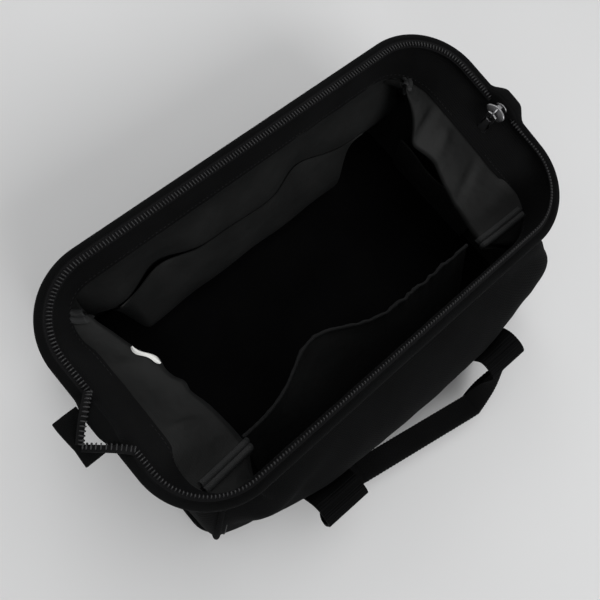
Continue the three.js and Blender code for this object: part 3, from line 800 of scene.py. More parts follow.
section = hemSection()
last = len(section) - 1
flat = (rimRun, 2 * mouth["hemDepth"] + hem["rollCloth"])
for half, sign in frameSign.items():
    def hemAt(u, v, half=half, sign=sign):
        run = u * rimRun if half == "front" else lerp(rimRun, 0, u)
        return hemPoint(sign, run, section[round(v * last)])

    bm = gridMesh(hem["columns"], last, hemAt, flat, paint=lambda u, v: 1 if v > hem["facingFrom"] else 0)
    addBent(bm, half + "Hem", "cloth", (outerCloth, facingCloth), half, half + "_hem", hem["thickness"])
print("hems made")


# Zip round the rim: a tape and a row of coil teeth on each half of the mouth

zipRow = {
    "pitch": 0.00242,
    "toothLength": 0.0039,
    "toothWidth": 0.0011,
    "toothHeight": 0.0016,
    "headSize": 0.0015,
    "headFlat": 2.6,
    "headHigh": 1.7,
    "headPlace": 0.42,       # share of the tooth's length, inward from its middle
    "lift": {"rear": -0.0009, "front": 0.0003},
    # how far the teeth stand up from flat, and the run over which they rise
    "stand": {"rear": math.radians(8), "front": math.radians(62)},
    "standRun": 0.03,
    # outset and lift of the tape's edges
    "tapeInside": {"rear": (-0.0024, -0.0027), "front": (-0.0006, -0.0002)},
    "tapeOutside": {"rear": (0.0032, -0.0015), "front": (0.0032, -0.0022)},
    "tapeWidth": 0.006,
    "tapeThickness": 0.0006,
    "leftStart": {"rear": 0.016, "front": 0.02689},   # half a pitch apart, so that the rows mesh
    "rightStart": 0.0105,
}


def makeTooth(bm):
    # one turn of the coil: a bar across the rim with a round head at its inner end
    bar = (zipRow["toothLength"] / 2, zipRow["toothWidth"] / 2, zipRow["toothHeight"] / 2, 1)
    bmesh.ops.create_uvsphere(bm, u_segments=6, v_segments=5, radius=1, matrix=Matrix.Diagonal(bar))
    size = zipRow["headSize"]
    head = (size / 2, size / zipRow["headFlat"], zipRow["toothHeight"] / zipRow["headHigh"], 1)
    place = Matrix.Translation((-zipRow["toothLength"] * zipRow["headPlace"], 0, 0)) @ Matrix.Diagonal(head)
    bmesh.ops.create_uvsphere(bm, u_segments=6, v_segments=4, radius=1, matrix=place)


toothShape = smallShape("coilTooth", makeTooth)


def addTooth(bm, centre, outward, along):
    upward = outward.cross(along).normalized()
    if upward.z < 0:
        upward = -upward
        along = -along
    axes = Matrix((outward, along, upward)).transposed().to_4x4()
    setOut(bm, toothShape, Matrix.Translation(centre) @ axes)


for half, sign in frameSign.items():
    start = zipRow["leftStart"][half]
    end = rimRun - zipRow["rightStart"]
    lift = zipRow["lift"][half]
    step = 0.001
    bm = bmesh.new()
    for i in range(int((end - start) / zipRow["pitch"])):
        run = start + (i + 0.5) * zipRow["pitch"]
        stand = zipRow["stand"][half] * smooth(0, zipRow["standRun"], min(run - start, end - run))
        centre = rimPoint(sign, run, 0, lift)
        outward = rimPoint(sign, run, step * math.cos(stand), lift - step * math.sin(stand)) - centre
        along = (rimPoint(sign, run + step, 0, lift) - centre).normalized()
        addTooth(bm, centre, outward.normalized(), along)
    addFixed(bm, half + "Coil", "zip", coilNylon, half + "_frame", half + "_zip_coil")

    def tapePoint(u, v, half=half, sign=sign, start=start, end=end):
        inner = Vector(zipRow["tapeInside"][half])
        outer = Vector(zipRow["tapeOutside"][half])
        outset, lift = inner.lerp(outer, v)
        return rimPoint(sign, lerp(start, end, u), outset, lift)

    bm = gridMesh(220, 6, tapePoint, (rimRun, zipRow["tapeWidth"]))
    addFixed(bm, half + "ZipTape", "zip", zipTapeCloth, half + "_frame", half + "_zip_tape",
             zipRow["tapeThickness"])
print("zip made")


# Zip ends: two tape tails gathered in a folded tab at the left, and the closed tail at the right

leftTails = {
    "rear": [(-0.1781, 0.0178, 0.153), (-0.1824, 0.0126, 0.158), (-0.1884, 0.0066, 0.1594),
             (-0.1946, 0.0008, 0.1562), (-0.1998, -0.0038, 0.1506)],
    "front": [(-0.1781, -0.027, 0.1459), (-0.1826, -0.0222, 0.1508), (-0.1884, -0.0168, 0.1546),
              (-0.1946, -0.0112, 0.155), (-0.1998, -0.0062, 0.1506)],
}
tailLook = {
    "width": 0.0044,
    "length": 0.03,
    "thickness": 0.0007,
    "toothOff": 0.001,
    "drop": 0.0008,
    "wave": 0.0006,
    "turning": (0.02, 0.5),   # the part of a tail that bends as the mouth shuts
}


def tailFrame(path, share):
    # place, direction and sideways of a tail
    step = 0.02
    ahead = (alongPath(path, min(share + step, 1)) - alongPath(path, max(share - step, 0))).normalized()
    return alongPath(path, share), ahead, ahead.cross(Vector((0, 0, 1))).normalized()


def tailTurn(share):
    return 1 - smooth(*tailLook["turning"], share)


for half, places in leftTails.items():
    path = [Vector(place) for place in places]
    inSide = -frameSign[half]

    def tailPoint(u, v, path=path):
        here, _, aside = tailFrame(path, u)
        off = lerp(-0.5, 0.5, v) * tailLook["width"]
        wave = tailLook["wave"] * math.sin(5 * u + 2 * v)
        return here + aside * off + Vector((0, 0, wave - tailLook["drop"]))

    flat = (tailLook["length"], tailLook["width"])
    bm = gridMesh(30, 6, tailPoint, flat, lambda u, v: tailTurn(u))
    addTurned(bm, half + "TapeTail", "zip", zipTapeCloth, "bag", half + "_frame",
              tailLook["thickness"], half + "_zip_tape")

    bm = bmesh.new()
    length = sum((path[i + 1] - path[i]).length for i in range(len(path) - 1))
    count = int(length / zipRow["pitch"]) - 1
    shares = []
    for i in range(count):
        share = (i + 0.5) / count
        here, ahead, aside = tailFrame(path, share)
        if aside.y * inSide > 0:
            aside = -aside
        addTooth(bm, here - aside * tailLook["toothOff"], aside, ahead)
        shares += [tailTurn(share)] * len(toothShape.vertices)
    teeth = addPiece(bm, half + "TailTeeth", "zip", coilNylon)
    bendBetween(teeth)
    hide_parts(half + "_zip_coil")

tab = {
    "low": Vector((-0.2044, -0.016, 0.1465)),
    "high": Vector((-0.1884, 0.016, 0.1495)),
    "notch": (-0.0048, 0.0155, 0.0098),   # place, half width and depth of the gap where the tails meet
    "outerInset": 0.0006,
    "outerNotch": 0.0012,
    "droop": 0.0036,
    "crumple": 0.0008,
    "gap": 0.0011,
    "foldShare": 0.12,       # share of each layer taken up by the fold
    "foldOut": 0.0008,
    "height": 0.1485,
    "thickness": 0.0008,
}


def tabPoint(u, v):
    # across the tab and back under it, so that the fold lies at its outer edge
    y = lerp(tab["low"].y, tab["high"].y, u)
    place, halfWidth, depth = tab["notch"]
    notch = max(0, 1 - abs(y - place) / halfWidth)
    outer = tab["low"].x + tab["outerInset"] + tab["outerNotch"] * notch
    inner = tab["high"].x - depth * notch
    droop = tab["droop"] * (abs(y) / tab["high"].y) ** 2
    crumple = tab["crumple"] * ripple(u * 5, abs(v - 0.5) * 4, 3)
    turn = lerp(-1, 1, v)
    fold = math.pi / 2 * max(0, 1 - abs(turn) / tab["foldShare"])
    across = lerp(1, -1, min(1, (1 - abs(turn)) / (1 - tab["foldShare"])))
    if abs(turn) > tab["foldShare"]:
        level = math.copysign(tab["gap"], turn)
    else:
        level = tab["gap"] * math.sin(math.pi / 2 * turn / tab["foldShare"])
    x = lerp(outer, inner, (across + 1) / 2) - tab["foldOut"] * math.sin(fold)
    return Vector((x, y, tab["height"] + level - droop + crumple))


bm = gridMesh(28, 26, tabPoint, (0.032, 0.034))
addFixed(bm, "leftZipTab", "cloth", outerCloth, "bag", "left_zip_tab", tab["thickness"])

rightTail = {
    # over the rim at the hinge, then straight down outside the bag: x and z
    "path": ((0.1805, 0.1532), (0.1862, 0.1545), (0.1895, 0.1505), (0.1899, 0.138), (0.1893, 0.125),
             (0.1899, 0.1108)),
    "width": 0.029,
    "length": 0.055,
    "thickness": 0.0008,
    "neck": 0.34,            # share of the width at the rim
    "widening": (0.2, 0.62),
    "curl": 0.0006,
    "curlFrom": 0.3,
    "wave": 0.0004,
    "cornerDrop": 0.001,
    "teeth": 15,
    "teethFrom": 0.42,
    "teethTo": 0.86,
    "teethApart": 0.035,
    "teethLift": 0.0006,
    "endFrom": 0.84,         # the binding over the lower edge
    "endTo": 0.995,
    "endOver": 0.02,
    "endLift": 0.0005,
    "endSwell": 0.0004,
    "endThickness": 0.0009,
}
rightTailPath = [Vector((x, 0, z)) for x, z in rightTail["path"]]


def rightTailPoint(u, v):
    wide = lerp(rightTail["neck"], 1, smooth(*rightTail["widening"], v))
    y = lerp(-0.5, 0.5, u) * rightTail["width"] * wide
    place = alongPath(rightTailPath, v)
    curl = rightTail["curl"] * (u - 0.5) * smooth(rightTail["curlFrom"], 1, v)
    curl += rightTail["wave"] * ripple(u * 4, v * 6, 1)
    return Vector((place.x + curl, y, place.z - rightTail["cornerDrop"] * (2 * u - 1) ** 2))


bm = gridMesh(20, 48, rightTailPoint, (rightTail["width"], rightTail["length"]))
addFixed(bm, "rightZipTail", "zip", zipTapeCloth, "bag", "right_zip_tail", rightTail["thickness"])

bm = bmesh.new()
for i in range(rightTail["teeth"]):
    share = lerp(rightTail["teethFrom"], rightTail["teethTo"], i / (rightTail["teeth"] - 1))
    for side in (-1, 1):
        centre = rightTailPoint(0.5 + side * rightTail["teethApart"], share)
        centre += Vector((rightTail["teethLift"], 0, 0))
        addTooth(bm, centre, Vector((0, side, 0)), Vector((0, 0, 1)))
addFixed(bm, "rightTailTeeth", "zip", coilNylon, "bag", "right_zip_tail")


def tailEndPoint(u, v):
    over = rightTail["endOver"]
    place = rightTailPoint(lerp(-over, 1 + over, u), lerp(rightTail["endFrom"], rightTail["endTo"], v))
    lift = rightTail["endLift"] + rightTail["endSwell"] * arch(v)
    return place + Vector((lift, 0, 0))


bm = gridMesh(18, 8, tailEndPoint, (0.03, 0.009))
addFixed(bm, "rightTailEnd", "zip", bindingTape, "bag", "right_zip_tail", rightTail["endThickness"])
print("zip ends made")


# Slider and its pull, in plated metal

slider = {
    "inner": 0.1702, "outer": 0.1788, "plate": 0.0016,
    "innerHalf": (0.0086, 0.0043), "outerHalf": (0.0052, 0.0036),   # half length along the rim, half height
    "lean": 0.38, "waist": 0.25, "waistFrom": 0.1, "edge": 0.0005, "edgeTurn": 1.0,
    "bailReach": 0.0042, "bailWire": 0.0007, "bailInset": 0.0006,
    "post": (0.0036, 0.0044), "postPlace": 0.001,
    "sharp": math.radians(40),
}
bm = bmesh.new()
for x in (slider["inner"], slider["outer"] - slider["plate"]):
    halfLength, halfHeight = slider["innerHalf"] if x == slider["inner"] else slider["outerHalf"]
    lean = slider["lean"] if x == slider["inner"] else 0
    lie = Matrix.Translation((x, 0, hingeHeight)) @ Matrix.Rotation(math.pi / 2, 4, "Y")
    ring = bmesh.ops.create_circle(bm, cap_ends=True, segments=40, radius=1, matrix=lie)
    for vert in ring["verts"]:
        y = vert.co.y
        z = vert.co.z - hingeHeight
        narrow = 1 - slider["waist"] * smooth(slider["waistFrom"], 1, y)
        rise = z * halfHeight * narrow
        vert.co = (x + lean * rise, y * halfLength, hingeHeight + rise)
    face = ring["verts"][0].link_faces[0]
    grown = bmesh.ops.extrude_face_region(bm, geom=[face])["geom"]
    moved = [item for item in grown if isinstance(item, bmesh.types.BMVert)]
    bmesh.ops.translate(bm, verts=moved, vec=(slider["plate"], 0, 0))
bmesh.ops.recalc_face_normals(bm, faces=bm.faces)
rims = [edge for edge in bm.edges if edge.calc_face_angle(0) > slider["edgeTurn"]]
bmesh.ops.bevel(bm, geom=rims, offset=slider["edge"], affect="EDGES", segments=3, profile=0.5, material=-1)
post = bmesh.ops.create_cube(bm, size=1)["verts"]
bmesh.ops.scale(bm, verts=post, vec=(slider["outer"] - slider["inner"] - slider["plate"], *slider["post"]))
middle = ((slider["inner"] + slider["outer"]) / 2, slider["postPlace"], hingeHeight)
bmesh.ops.translate(bm, verts=post, vec=middle)
bailX = slider["inner"] + slider["bailInset"]
bailTop = hingeHeight + slider["bailReach"]
lie = Matrix.Translation((bailX, 0, bailTop)) @ Matrix.Rotation(math.pi / 2, 4, "Y")
wire = bmesh.ops.create_circle(bm, segments=12, radius=slider["bailWire"], matrix=lie)["verts"]
bmesh.ops.spin(bm, geom=wire + edgesOf(wire), cent=(bailX, 0, hingeHeight), axis=(0, -1, 0),
               angle=math.pi, steps=20)
bmesh.ops.recalc_face_normals(bm, faces=bm.faces)
inOrder(bm)
sliderPiece = addFixed(bm, "zipSlider", "steel", platedSteel, "bag", "zip_slider")
sliderPiece.data.set_sharp_from_angle(angle=slider["sharp"])

pull = {
    "x": 0.1677,
    "halfWidth": 0.004,
    "top": 0.001,
    "length": 0.03,
    "thickness": 0.0016,
    "slot": (0.0025, -0.001, -0.0065),   # half width, upper and lower end
    "slotCurve": 0.35,
    "waist": (0.45, 0.16, 0.2),          # place, spread and depth
    "tip": 0.004,
    "shoulder": 3.2,
    "edge": 0.0003,
    "edgeTurn": 1.2,
    "points": 48,
}
bm = bmesh.new()
outer = bmesh.ops.create_circle(bm, segments=pull["points"], radius=1)["verts"]
inner = bmesh.ops.create_circle(bm, segments=pull["points"], radius=1)["verts"]


def pullOutline(angle):
    # a tongue: square at the bail, a little waist, a round tip
    down = (1 - math.cos(angle)) / 2
    side = math.sin(angle)
    z = lerp(pull["top"], -pull["length"], down)
    place, spread, depth = pull["waist"]
    wide = pull["halfWidth"] * (1 - depth * bell(down, place, spread))
    tip = math.sqrt(max(0, 1 - max(0, (-z - pull["length"] + pull["tip"]) / pull["tip"]) ** 2))
    square = min(1, abs(side) * pull["shoulder"]) if down < 0.5 else 1
    return Vector((pull["x"], math.copysign(wide * tip * square, side), hingeHeight + z))


def squared(value):
    return math.copysign(abs(value) ** pull["slotCurve"], value)


def slotOutline(angle):
    wide, high, low = pull["slot"]
    middle = (high + low) / 2
    z = hingeHeight + middle + (high - middle) * squared(math.cos(angle))
    return Vector((pull["x"], wide * squared(math.sin(angle)), z))


for i in range(pull["points"]):
    angle = 2 * math.pi * i / pull["points"]
    outer[i].co = pullOutline(angle)
    inner[i].co = slotOutline(angle)
bmesh.ops.bridge_loops(bm, edges=edgesOf(outer + inner))
grown = bmesh.ops.extrude_face_region(bm, geom=list(bm.faces))["geom"]
moved = [item for item in grown if isinstance(item, bmesh.types.BMVert)]
stayed = [vert for vert in bm.verts if vert not in set(moved)]
bmesh.ops.translate(bm, verts=moved, vec=(pull["thickness"] / 2, 0, 0))
bmesh.ops.translate(bm, verts=stayed, vec=(-pull["thickness"] / 2, 0, 0))
bmesh.ops.recalc_face_normals(bm, faces=bm.faces)
rims = [edge for edge in bm.edges if edge.calc_face_angle(0) > pull["edgeTurn"]]
bmesh.ops.bevel(bm, geom=rims, offset=pull["edge"], affect="EDGES", segments=2, profile=0.5, material=-1)
pullPiece = addFixed(bm, "zipPull", "steel", platedSteel, "zip_pull", "zip_pull")
pullPiece.data.set_sharp_from_angle(angle=slider["sharp"])
print("slider and pull made")


# Corner seams: piping outside, and a bound seam strip inside

corners = {
    "frontLeft": ("left", -1, "front"),
    "frontRight": ("right", -1, "front"),
    "rearLeft": ("left", 1, "rear"),
    "rearRight": ("right", 1, "rear"),
}
seam = {
    "pipingRadius": 0.0021,
    "pipingOut": 0.0012,
    "stripWidth": 0.0095,
    "stripLift": 0.0024,
    "stripHump": 0.0013,
    "humpCurve": 0.7,
    "stripThickness": 0.0007,
    "stripLength": 0.12,
    "lowest": 0.012,         # shares of the seam's height
    "stripLowest": 0.03,
    "highest": 0.985,
    "rows": 90,
}


def seamFrame(end, corner, t):
    # place, direction and inward facing of a corner seam
    t = min(seam["highest"], max(seam["lowest"], t))
    step = 0.01
    here = endPoint(end, corner, t)
    ahead = (endPoint(end, corner, t + step) - endPoint(end, corner, t - step)).normalized()
    aside = endPoint(end, corner * 0.9, t) - here
    inward = aside.cross(ahead) * (outTurn[end] * corner)
    return here, ahead, inward.normalized()


for name, (end, corner, half) in corners.items():
    diagonal = Vector((wallSign[end], corner, 0)).normalized()
    points = []
    for i in range(seam["rows"] + 1):
        here, ahead, inward = seamFrame(end, corner, i / seam["rows"])
        points.append(here + diagonal * seam["pipingOut"])
    bm = tubeMesh(points, seam["pipingRadius"], 10)
    node = half + "_" + end
    addBent(bm, name + "Piping", "cloth", (outerCloth,), half, node + "_piping")

    def stripPoint(u, v, end=end, corner=corner):
        here, ahead, inward = seamFrame(end, corner, lerp(seam["stripLowest"], seam["highest"], v))
        aside = inward.cross(ahead)
        across = lerp(-1, 1, u)
        hump = seam["stripHump"] * abs(arch(across)) ** seam["humpCurve"]
        return here + inward * (seam["stripLift"] + hump) + aside * (across * seam["stripWidth"] / 2)

    bm = gridMesh(16, seam["rows"], stripPoint, (seam["stripWidth"], seam["stripLength"]))
    addBent(bm, name + "Binding", "coated_cloth", (bindingTape,), half, node + "_binding",
            seam["stripThickness"])
print("seams made")


# Base: the cloth under the board and the piped seam round the foot

base = {
    "halfLength": 0.175, "halfWidth": 0.1, "corner": 0.016, "height": 0.0013, "thickness": 0.0016,
    "pucker": 0.0003, "puckerScale": 40, "puckerEdge": (0.002, 0.02),
    "pipingRadius": 0.0023, "pipingOut": 0.0026, "pipingHeight": 0.0027,
    "pipingWave": 0.00025, "waveScale": 60, "longPoints": 40, "shortPoints": 24,
}


def basePoint(u, v):
    # a grid whose corner squares are drawn in to quarter rounds
    x = lerp(-1, 1, u) * base["halfLength"]
    y = lerp(-1, 1, v) * base["halfWidth"]
    straightX = base["halfLength"] - base["corner"]
    straightY = base["halfWidth"] - base["corner"]
    overX = max(0, abs(x) - straightX) / base["corner"]
    overY = max(0, abs(y) - straightY) / base["corner"]
    if overX > 0 and overY > 0:
        x = math.copysign(straightX + base["corner"] * overX * math.sqrt(1 - overY**2 / 2), x)
        y = math.copysign(straightY + base["corner"] * overY * math.sqrt(1 - overX**2 / 2), y)
    edge = min(base["halfLength"] - abs(x), base["halfWidth"] - abs(y))
    scale = base["puckerScale"]
    pucker = base["pucker"] * ripple(x * scale, y * scale, 5) * smooth(*base["puckerEdge"], edge)
    return Vector((x, y, base["height"] + pucker))


bm = gridMesh(84, 52, basePoint, (2 * base["halfLength"], 2 * base["halfWidth"]))
addFixed(bm, "baseCloth", "cloth", outerCloth, "bag", "base_panel", base["thickness"])


def footRing(steps):
    # the foot seam: straight sides and quarter rounds, back to its start
    radius = base["corner"] + base["pipingOut"]
    farX = base["halfLength"] + base["pipingOut"] - radius
    farY = base["halfWidth"] + base["pipingOut"] - radius
    signs = ((1, 1), (-1, 1), (-1, -1), (1, -1))

    def onRound(quarter, angle):
        signX, signY = signs[quarter % 4]
        centre = Vector((signX * farX, signY * farY, base["pipingHeight"]))
        return centre + Vector((math.cos(angle), math.sin(angle), 0)) * radius

    points = []
    for quarter in range(4):
        for i in range(steps + 1):
            points.append(onRound(quarter, math.pi / 2 * (quarter + i / steps)))
        here = points[-1]
        target = onRound(quarter + 1, math.pi / 2 * (quarter + 1))
        count = base["longPoints"] if quarter % 2 == 0 else base["shortPoints"]
        for i in range(1, count):
            points.append(here.lerp(target, i / count))
    for point in points:
        point.z += base["pipingWave"] * noise.noise(point * base["waveScale"])
    return points + [points[0].copy()]


bm = tubeMesh(footRing(8), base["pipingRadius"], 10, closed=True)
addFixed(bm, "basePiping", "cloth", outerCloth, "bag", "base_piping")
print("base made")


# Handles: webbing sewn up each wall, bent out over a free tongue and on into the loop

webbing = {
    "halfWidth": 0.019,
    "thickness": 0.0019,
    "spacing": 0.176,
    "foot": 0.0095,
    "sewnTop": 0.049,
    "lift": 0.0021,
    "ribPitch": 0.0022,
    "rib": 0.0002,
    "tongueMiddle": 0.009,
    "tongueArch": 0.0012,
    "fold": {"front": 0.0195, "rear": 0.0165},
    "legDrop": 0.018,
    "drop": 0.04,
    "gripHalf": 0.056,
    "gripSkew": 0.01,
    "sewnShare": 0.72,        # of a strap's length that lies on the wall
    "tongueRun": 0.02,
    "tongueDrop": 0.006,
    "tonguePull": (0.009, 0.008),   # handles of the curve from the wall into the tongue
    "openBend": 0.006,        # arc of cloth in the fold where the webbing starts to double
    "shutBend": 0.00204,
    "centring": 0.48,
    "loopLength": 0.3,
    "strapLength": 0.07,
    # shares of a half loop where the tongue, the leg and the shoulder end
    "tongueShare": 0.16,
    "legShare": 0.34,
    "gripShare": 0.74,
    "strapTurn": (0.76, 0.96),   # where the strap takes up the turn of its joint, and the loop of its own
    "loopTurn": (0.02, 0.16),
}


def strapRoot(side):
    # the hinge line of a handle: its middle, the direction along the bag, and out from the wall
    joint = joints[side + "_strap_lift"]
    lengthwise = Vector(joint["axis"]) * frameSign[side]
    outward = Vector((0, 0, 1)).cross(lengthwise) * frameSign[side]
    return Vector(joint["pos_m"]), lengthwise, outward


def fromRoot(side, x, out, rise):
    middle, lengthwise, outward = strapRoot(side)
    return middle + lengthwise * x + outward * out + Vector((0, 0, rise))


def onWall(side, x, height, lift):
    t = 0.4
    for _ in range(3):
        reach = lerp(body["footLength"] - body["footCorner"], longRun / 2, t)
        u = body["straightShare"] * x / reach
        top = wallTop(side, u).z
        t = (height - body["footHeight"]) / (top - body["footHeight"])
    return offWall(side, u, t, lift)


def rib(run):
    return webbing["rib"] * math.sin(2 * math.pi * run / webbing["ribPitch"])


def sewnStrapPoint(side, x, v):
    # up the wall, then round into the tongue
    sewn = webbing["sewnShare"]
    if v < sewn:
        height = lerp(webbing["foot"], webbing["sewnTop"], v / sewn)
        return onWall(side, x, height, webbing["lift"] + rib(height))
    step = 0.002
    low = onWall(side, x, webbing["sewnTop"], webbing["lift"] + rib(webbing["sewnTop"]))
    before = onWall(side, x, webbing["sewnTop"] - step, webbing["lift"])
    rise = (low - before).normalized()
    end = fromRoot(side, x, webbing["tongueMiddle"], webbing["tongueArch"])
    outward = strapRoot(side)[2]
    share = (v - sewn) / (1 - sewn)
    lowPull, endPull = webbing["tonguePull"]
    place = bezier(low, low + rise * lowPull, end - outward * endPull, end, share)
    return place + Vector((0, 0, rib(webbing["tongueRun"] * share)))


def loopPath(side, end, share):
    # one half of the loop, from the middle of its tongue to the middle of the grip
    x = webbing["spacing"] / 2
    tongueShare = webbing["tongueShare"]
    legShare = webbing["legShare"]
    gripShare = webbing["gripShare"]
    fold = webbing["fold"][side]
    if share < tongueShare:
        s = share / tongueShare
        angle = math.pi / 2 * smooth(0, 1, s)
        bend = fold - webbing["tongueMiddle"]
        out = webbing["tongueMiddle"] + bend * math.sin(angle)
        drop = -webbing["tongueArch"] + webbing["tongueDrop"] * (1 - math.cos(angle))
        turn = 0.0
    elif share < legShare:
        s = (share - tongueShare) / (legShare - tongueShare)
        out = fold
        drop = lerp(webbing["tongueDrop"] - webbing["tongueArch"], webbing["legDrop"], s)
        turn = 0.0
    else:
        turn = smooth(legShare, gripShare, share)
        shoulder = math.pi / 2 * turn
        alongGrip = max(0, (share - gripShare) / (1 - gripShare))
        x = lerp(x, webbing["gripHalf"], 1 - math.cos(shoulder)) * (1 - alongGrip)
        drop = lerp(webbing["legDrop"], webbing["drop"], math.sin(shoulder))
        out = fold + webbing["gripSkew"] * turn * (x / webbing["gripHalf"]) * end
    return fromRoot(side, end * x, out, -drop), turn


def loopFrame(side, along):
    # along runs from -1, the middle of the left tongue, through the grip at 0 to 1
    def at(value):
        return loopPath(side, -1 if value < 0 else 1, 1 - abs(value))

    here, turn = at(along)
    step = 0.004
    ahead = at(min(1, along + step))[0] - at(max(-1, along - step))[0]
    return here, ahead.normalized(), turn


def loopPoint(side, u, v):
    along = lerp(-1, 1, u)
    here, ahead, turn = loopFrame(side, along)
    outward = strapRoot(side)[2]
    bent = smooth(1 - webbing["tongueShare"], 1, abs(along))
    facing = outward.lerp(Vector((0, 0, 1)), bent)
    facing = (facing - ahead * facing.dot(ahead)).normalized()
    aside = ahead.cross(facing).normalized()
    across = lerp(-1, 1, v) * webbing["halfWidth"]
    most = turn * math.pi / 2
    arc = lerp(webbing["openBend"], webbing["shutBend"], turn)
    bend = min(1, abs(across) / arc) * most
    radius = arc / max(most, 1e-4)
    beyond = max(0, abs(across) - arc)
    if most < 1e-3:
        sideways, folded = abs(across), 0.0
    else:
        sideways = radius * math.sin(bend) + beyond * math.cos(bend)
        folded = radius * (1 - math.cos(bend)) + beyond * math.sin(bend)
    centring = turn * webbing["halfWidth"] * webbing["centring"]
    inward = -facing
    deep = folded - centring
    ribbed = rib(webbing["loopLength"] * u)
    return here + aside * math.copysign(sideways, across) + inward * deep - inward * ribbed


for side in frameSign:
    for end in (-1, 1):
        name = side + ("Left" if end < 0 else "Right")
        node = side + ("_left" if end < 0 else "_right")

        def strapPoint(u, v, side=side, end=end):
            x = end * webbing["spacing"] / 2 - lerp(-1, 1, u) * webbing["halfWidth"] * wallSign[side]
            return sewnStrapPoint(side, x, v)

        flat = (2 * webbing["halfWidth"], webbing["strapLength"])
        bm = gridMesh(14, 130, strapPoint, flat, lambda u, v: smooth(*webbing["strapTurn"], v))
        addTurned(bm, name + "Strap", "webbing", webbingCloth, "bag", side + "_straps",
                  webbing["thickness"], node + "_strap_base", node + "_strap")
    flat = (webbing["loopLength"], 2 * webbing["halfWidth"])
    bm = gridMesh(560, 16, lambda u, v: loopPoint(side, u, v), flat,
                  lambda u, v: smooth(*webbing["loopTurn"], 1 - abs(2 * u - 1)))
    addTurned(bm, side + "Loop", "webbing", webbingCloth, side + "_straps", side + "_loop",
              webbing["thickness"], side + "_handle", side + "_left_strap", side + "_right_strap")
print("handles made")


# Pockets inside and the blank label

pocket = {
    "foot": 0.0068, "thickness": 0.0011,
    "front": {
        "half": 0.118, "top": 0.081, "start": 0.092, "lean": 0.032,
        "belly": 0.022, "place": -0.033, "spread": 0.036,
        "endFade": 0.014, "sway": 0.003,
        "tuckFrom": 0.55, "tuckOut": 0.0013, "tuckUp": 0.0007,
        "tuckLeast": 0.3, "tuckMore": (0.062, 0.035, 0.9),   # place, spread and strength
    },
    "rear": {
        "half": 0.125, "top": 0.0718, "start": 0.092, "lean": 0.022,
        "divider": 0.058, "pinch": 0.011, "spread": 0.025,
        "belly": 0.028, "bellyLow": 0.45, "gape": (-0.082, 0.024, -0.011),
        "endFade": {"left": 0.014, "right": 0.03}, "sway": 0.0022, "swayUp": 0.001,
    },
    "right": {
        "half": 0.048, "top": 0.0615, "start": 0.167, "lean": 0.012,
        "sway": 0.003, "gape": (0.012, 0.02, 0.004),
    },
    "elastic": {"up": 0.0016, "halfWidth": 0.0015, "halfHeight": 0.0019, "pinch": 0.2},
    "tucks": {"scale": (95, 210), "share": (1.5, 0.8)},
}


def gathers(x):
    # uneven tucks of the elastic edge, wide ones and narrow ones
    coarseScale, fineScale = pocket["tucks"]["scale"]
    coarse, fine = pocket["tucks"]["share"]
    few = ripple(x * coarseScale, 0, 2)
    many = ripple(x * fineScale, 4, 1)
    return coarse * few + fine * many


def frontPocketPoint(u, v):
    size = pocket["front"]
    x = lerp(-size["half"], size["half"], u)
    ends = smooth(0, size["endFade"], size["half"] - abs(x))
    place, spread, more = size["tuckMore"]
    strength = size["tuckLeast"] + more * bell(x, place, spread)
    tuck = gathers(x) * smooth(size["tuckFrom"], 1, v) * ends * strength
    out = size["start"] - size["lean"] * v - size["belly"] * bell(x, size["place"], size["spread"]) * v * v
    sway = size["sway"] * ripple(x * 14, v * 1.5, 7) * arch(min(1, v * 1.1))
    z = lerp(pocket["foot"], size["top"], v) + size["tuckUp"] * tuck
    return Vector((x, -out + sway * ends + size["tuckOut"] * tuck, z))


def elasticPoint(u, v):
    # a rolled edge, pinched at each gather
    size = pocket["elastic"]
    edge = frontPocketPoint(u, 1) + Vector((0, 0, size["up"]))
    pinch = 1 + size["pinch"] * gathers(edge.x)
    angle = 2 * math.pi * v
    rolled = Vector((0, math.cos(angle) * size["halfWidth"], math.sin(angle) * size["halfHeight"]))
    return edge + rolled * pinch


def rearPocketPoint(u, v):
    size = pocket["rear"]
    x = lerp(size["half"], -size["half"], u)
    pinch = size["pinch"] * bell(x, size["divider"], size["spread"])
    out = size["start"] - size["lean"] * v + pinch * v * v
    ends = smooth(0, size["endFade"]["left" if x < 0 else "right"], size["half"] - abs(x))
    place, spread, depth = size["gape"]
    gape = depth * bell(x, place, spread) * v**3
    gape += size["belly"] * ends * arch(v ** size["bellyLow"])
    sway = ripple(x * 18, v * 2, 11) * ends
    z = lerp(pocket["foot"], size["top"], v) + size["swayUp"] * sway
    return Vector((x, out - gape + size["sway"] * sway, z))


def rightPocketPoint(u, v):
    size = pocket["right"]
    y = lerp(size["half"], -size["half"], u)
    place, spread, depth = size["gape"]
    sway = size["sway"] * ripple(y * 20, v * 2, 4) + depth * bell(y, place, spread) * v * v
    return Vector((size["start"] - size["lean"] * v - sway * v, y, lerp(pocket["foot"], size["top"], v)))


def addPocket(name, at, columns, flat, node):
    bm = gridMesh(columns, 30, at, flat)
    addFixed(bm, name, "coated_cloth", coatedLining, "bag", node, pocket["thickness"])


addPocket("frontPocket", frontPocketPoint, 200, (0.27, 0.085), "front_inner_pocket")
addPocket("rearPocket", rearPocketPoint, 110, (0.25, 0.07), "rear_inner_pocket")
addPocket("rightPocket", rightPocketPoint, 50, (0.096, 0.06), "right_inner_pocket")

